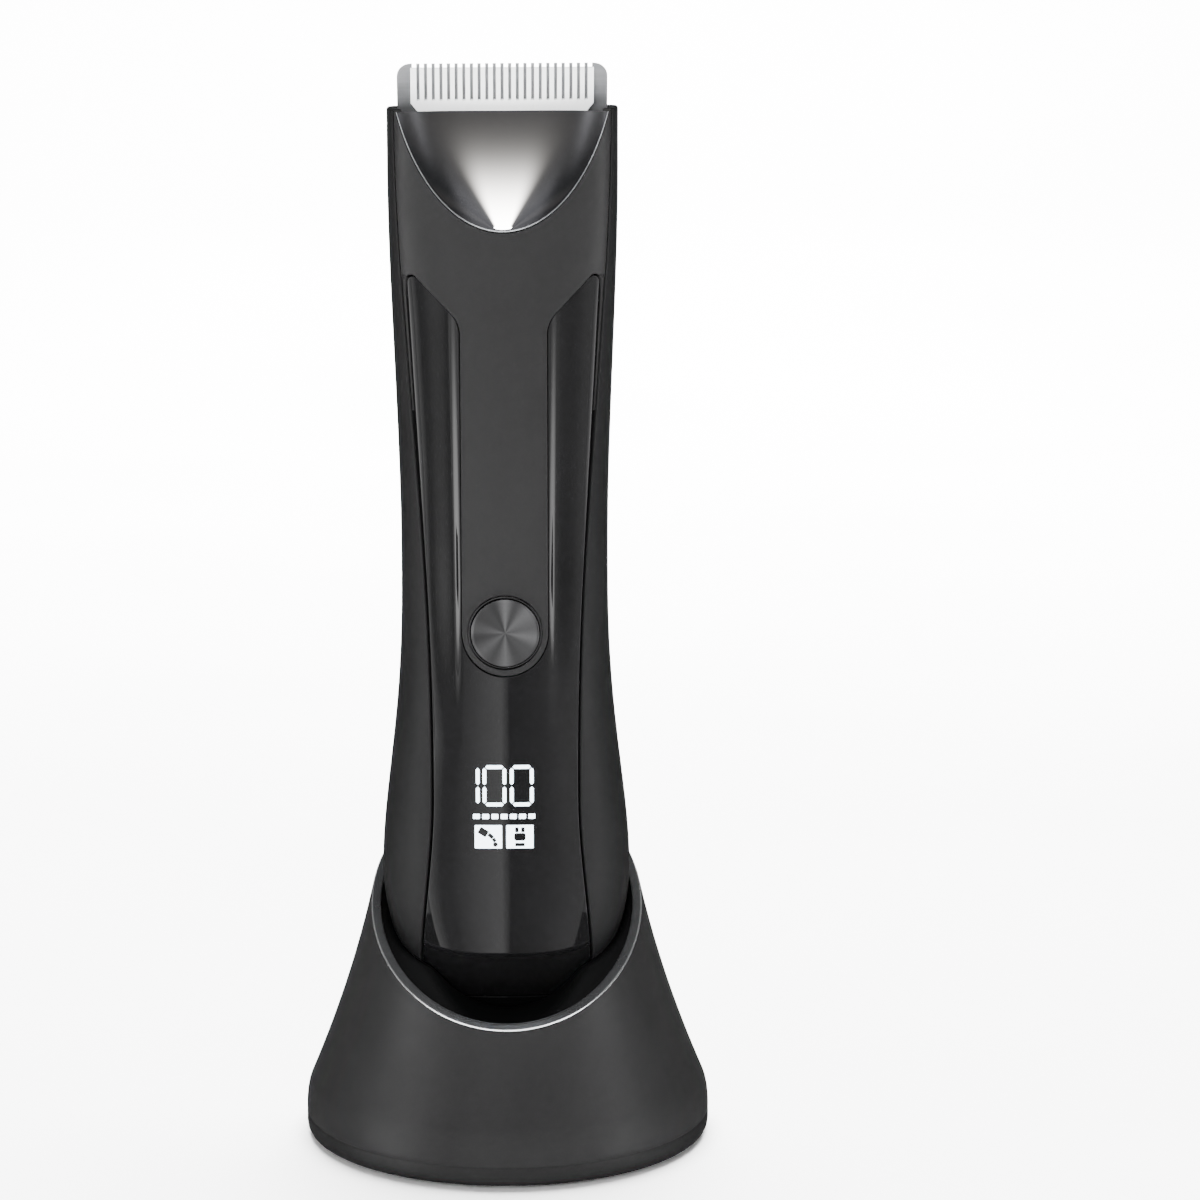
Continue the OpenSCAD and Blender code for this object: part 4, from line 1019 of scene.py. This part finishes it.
# the inlet's window in the back of the stand
cut_mesh = bpy.data.meshes.new("window_cut")
INLET_Z, INLET_HALF_W, INLET_HALF_H = 11, 6.15, 3.95
cut_v = [(x, y, z) for x in (-INLET_HALF_W, INLET_HALF_W) for y in (26.0, 40.0)
         for z in (INLET_Z - INLET_HALF_H, INLET_Z + INLET_HALF_H)]
cut_mesh.from_pydata([tuple(np.array(p) * MM) for p in cut_v], [],
                     [(0, 1, 3, 2), (4, 6, 7, 5), (0, 4, 5, 1), (2, 3, 7, 6), (0, 2, 6, 4), (1, 5, 7, 3)])
cutter = bpy.data.objects.new("window_cut", cut_mesh)
bpy.context.scene.collection.objects.link(cutter)


def apply(obj):
    """Turns an object's modifiers into its mesh."""
    deps = bpy.context.evaluated_depsgraph_get()
    bpy.context.view_layer.update()
    baked = bpy.data.meshes.new_from_object(obj.evaluated_get(deps), depsgraph=deps)
    obj.modifiers.clear()
    obj.data = baked


thick = stand.modifiers.new("wall", "SOLIDIFY")
thick.thickness = 0.35 * MM
thick.offset = -1
thick.use_even_offset = False
boolean = stand.modifiers.new("window", "BOOLEAN")
boolean.operation = "DIFFERENCE"
boolean.solver = "EXACT"
boolean.object = cutter
bpy.context.view_layer.update()
apply(stand)
bpy.data.objects.remove(cutter)
sharp = stand.modifiers.new("normals", "WEIGHTED_NORMAL")
sharp.keep_sharp = True
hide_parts("stand_shell")

# cup: rim plate under the slanting rim, rolled edge, bowl round the handle's end
CUP_CLEAR, CUP_SUNK = 0.75, 2.0
DISH_W, DISH_DROP = BELLY_W - 3.1, END_DROP - 5
FLOOR_Z = CAP_Z - 0.3
verts, faces = [], []
tan_sunk = RIM_FRONT_Z - CUP_SUNK / math.cos(math.radians(RIM_SLOPE))


def sunk_z(x, y):
    """The rim plate's height: a slanting plane, dished in front of the handle."""
    plane = tan_sunk + (y - FRONT_Y) * TAN
    if y > MID_Y or abs(x) >= DISH_W * 0.999:
        return plane
    dish = BELLY_Z - DISH_DROP * math.sqrt(1 - (x / DISH_W) ** 2)
    soft = 1.2
    h = max(0.0, soft - abs(plane - dish)) / soft
    return min(plane, dish) - h * h * soft / 4


for i in range(COLS):
    a = 2 * math.pi * i / COLS
    u = np.array([a * POLAR_R])
    z = 30.0
    for _ in range(80):
        p = on_handle(u, np.array([max(FLOOR_Z + 0.5, z)]), -CUP_CLEAR)[0]
        z = 0.6 * z + 0.4 * sunk_z(p[0], p[1])
    lip = on_handle(u, np.array([z]), -CUP_CLEAR)[0]
    ray = np.array([math.cos(a), math.sin(a)])
    s = 20.0
    for _ in range(80):
        q = np.array([0, MID_Y]) + ray * s
        s += 0.5 * ((flare_r(sunk_z(q[0], q[1])) - STAND_WALL - 0.35) - np.linalg.norm(q))
    column = []
    gap = np.linalg.norm(q - lip[:2])
    roll = min(0.6, 0.4 * gap)
    for t in np.linspace(0, 1, 26):
        w = q + (lip[:2] - q) * t * (1 - roll / gap)
        column.append(np.array([w[0], w[1], sunk_z(w[0], w[1])]))
    edge_p = column[-1]
    under = on_handle(u, np.array([z - 0.6]), -CUP_CLEAR)[0]
    for t in np.linspace(0.15, 1, 6):
        column.append(bend(edge_p, lip, under, t))
    for t in np.linspace(0.04, 1, 18):
        zb = (z - 0.6) + (FLOOR_Z - (z - 0.6)) * t
        column.append(on_handle(u, np.array([zb]), -CUP_CLEAR)[0])
    last = column[-1]
    for t in (0.15, 0.4, 0.7, 0.97):
        column.append(np.array([last[0] * (1 - t), MID_Y + (last[1] - MID_Y) * (1 - t), FLOOR_Z]))
    rows = len(column)
    verts += column
for i in range(COLS):
    j = (i + 1) % COLS
    for k in range(rows - 1):
        faces.append([i * rows + k, i * rows + k + 1, j * rows + k + 1, j * rows + k])
faces.append([i * rows + rows - 1 for i in range(COLS)])
cup = add_object("cup_bowl", np.array(verts), faces, "stand")
wear(cup, CUP)
thick = cup.modifiers.new("wall", "SOLIDIFY")
thick.thickness = 1.0 * MM
thick.offset = -1
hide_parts("stand_cup")

# ---------------------------------------------------------------- carried-over solids

LOOK = {
    "stand_base": BASE_AND_FOOT_SHADE, "ballast_ring": ZINC, "base_screws": SCREW, "foot_ring": RUBBER, "dock_board": BOARD,
    "dock_plug": INLET, "dock_contacts": BRASS, "stand_inlet": INLET, "stand_inlet_pins": BRASS,
    "stand_wires": WIRE, "display_module": PALE, "main_board": BOARD, "board_chips": CHIP,
    "tact_switch": SCREW, "chassis": GREY, "battery_cell": WRAP, "battery_tabs": SCREW, "motor_can": ZINC,
    "motor_magnets": MAGNET, "motor_end_bell": NYLON, "motor_bracket": GREY, "bracket_screws": SCREW,
    "bulkhead": GREY, "drive_seal": SEAL, "led_board": CHIP, "bottom_cap": GLOSS, "cap_gasket": SEAL,
    "inlet_socket": INLET, "inlet_pins": BRASS, "rotor": COPPER, "eccentric_cam": NYLON,
    "blade_carrier": CUP, "comb_blade": STEEL, "blade_screws": SCREW, "blade_springs": SCREW,
    "ceramic_cutter": CERAMIC, "cutter_yoke": NYLON,
}
# edge rounding in mm; the rest take EDGE_ROUND
EDGE_ROUND = 0.08
ROUND = {"comb_blade": 0.05, "ceramic_cutter": 0.045, "blade_carrier": 0.15, "bottom_cap": 0.3,
         "stand_inlet": 0.2, "dock_plug": 0.25, "stand_base": 0.25, "chassis": 0.2, "foot_ring": 0.2}
for name, mat in LOOK.items():
    obj = nodes[name]
    wear(obj, mat)
    obj.data.polygons.foreach_set("use_smooth", [True] * len(obj.data.polygons))
    weld = obj.modifiers.new("weld", "WELD")
    weld.merge_threshold = 0.000002
    flat = obj.modifiers.new("flat", "DECIMATE")
    flat.decimate_type = "DISSOLVE"
    flat.angle_limit = math.radians(0.6)
    soft = obj.modifiers.new("edges", "BEVEL")
    soft.width = ROUND.get(name, EDGE_ROUND) * MM
    soft.segments = 2
    soft.limit_method = "ANGLE"
    soft.angle_limit = math.radians(32)
    soft.use_clamp_overlap = True
    even = obj.modifiers.new("normals", "WEIGHTED_NORMAL")
    even.keep_sharp = True

# ---------------------------------------------------------------- floor and light


def area(name, loc, target, size, energy, size_y=None, only=(), diffuse=True, glossy=True):
    """An area light the camera doesn't see; with only, it lights those objects and no others."""
    data = bpy.data.lights.new(name, "AREA")
    data.energy = energy
    data.shape = "RECTANGLE"
    data.size = size
    data.size_y = size_y or size
    obj = bpy.data.objects.new(name, data)
    bpy.context.scene.collection.objects.link(obj)
    obj.location = loc
    obj.rotation_euler = (Vector(target) - Vector(loc)).to_track_quat("-Z", "Y").to_euler()
    obj.visible_camera = False
    obj.visible_diffuse = diffuse
    obj.visible_glossy = glossy
    if only:
        lit = bpy.data.collections.new(name + "_lit")
        for other in only:
            lit.objects.link(other)
        obj.light_linking.receiver_collection = lit
    return obj


def graded(light, stops):
    """Varies a light across its width; stops are (part of the width, strength)."""
    data = light.data
    data.use_nodes = True
    nt = data.node_tree
    emit = next(n for n in nt.nodes if n.type == "EMISSION")
    spot = nt.nodes.new("ShaderNodeNewGeometry")
    split = nt.nodes.new("ShaderNodeSeparateXYZ")
    nt.links.new(spot.outputs["Parametric"], split.inputs[0])
    ramp = nt.nodes.new("ShaderNodeValToRGB")
    fill_ramp(ramp.color_ramp, [(at, (level, level, level, 1)) for at, level in stops])
    nt.links.new(split.outputs["X"], ramp.inputs[0])
    nt.links.new(ramp.outputs[0], emit.inputs["Strength"])


floor_mesh = bpy.data.meshes.new("floor")
rows_y = [-0.75, -0.4, -0.16, 0.3, 0.9, 1.3, 1.6, 1.8, 1.9, 1.92]
rows_z = [0, 0, 0, 0, 0, 0.05, 0.2, 0.5, 1.1, 2.6]
fv = [(x, y, z) for y, z in zip(rows_y, rows_z) for x in (-0.80, 0.95)]
floor_mesh.from_pydata(fv, [], [(2 * i, 2 * i + 1, 2 * i + 3, 2 * i + 2) for i in range(len(rows_y) - 1)])
floor_mesh.polygons.foreach_set("use_smooth", [True] * len(floor_mesh.polygons))
floor = bpy.data.objects.new("floor", floor_mesh)
bpy.context.scene.collection.objects.link(floor)
wear(floor, finish("floor_white", (0.90, 0.90, 0.90), 0.6, grain=400, bump=0.0, spread=0.01, cloud=6))
floor.visible_glossy = False

world = bpy.data.worlds.new("studio")
bpy.context.scene.world = world
world.use_nodes = True
wt = world.node_tree
back = wt.nodes["Background"]
back.inputs[0].default_value = (1, 1, 1, 1)
path = wt.nodes.new("ShaderNodeLightPath")
WORLD_LIGHT, WORLD_SEEN = 0.22, 9.0
seen = remap(wt, path.outputs["Is Camera Ray"], 0, 1, WORLD_LIGHT, WORLD_SEEN)
wt.links.new(seen, back.inputs[1])

area("key_left", (-0.50, -0.86, 0.22), (-0.50, 0.0, 0.22), 1.0, 22.0, 1.25, glossy=False)
area("fill_right", (0.92, -0.42, 0.25), (0, 0, 0.10), 0.4, 6.0, 1.0, glossy=False)
area("overhead", (0.06, 0.42, 0.95), (0.06, 0.42, 0.0), 0.8, 120.0, only=(floor,))
area("backdrop", (0.06, 0.75, 1.1), (0.06, 1.9, 0.55), 1.0, 220.0, 0.6, only=(floor,))
card = area("card_front", (0.0, -0.86, -1.05), (0.0, 0.0, -1.05), 2.0, 72.0, 3.1, diffuse=False)
graded(card, [(0.0, 1.0), (1.0, 0.50), (0.12, 0.55), (0.20, 0.22), (0.30, 0.24), (0.40, 0.55), (0.47, 0.85),
              (0.4995, 1.0), (0.5005, 0.12), (0.60, 0.22), (0.75, 0.42)])
strip = area("strip_left", (-0.88, -0.47, 0.15), (0, 0, 0.10), 0.5, 30.0, 1.3, diffuse=False)
graded(strip, [(0.0, 1.0), (1.0, 0.05), (0.3, 0.85), (0.6, 0.30)])
strip = area("strip_right", (0.88, -0.47, 0.15), (0, 0, 0.10), 0.5, 24.0, 1.3, diffuse=False)
graded(strip, [(0.0, 0.05), (1.0, 1.0), (0.4, 0.30), (0.7, 0.85)])
area("strip_rim", (0.0, -0.40, 0.85), (0, 0, 0.02), 0.9, 6.0, 0.25, diffuse=False)
area("blade_front", (-0.10, -0.60, 0.45), (0, 0, 0.18), 0.4, 9.0, only=(nodes["ceramic_cutter"],))
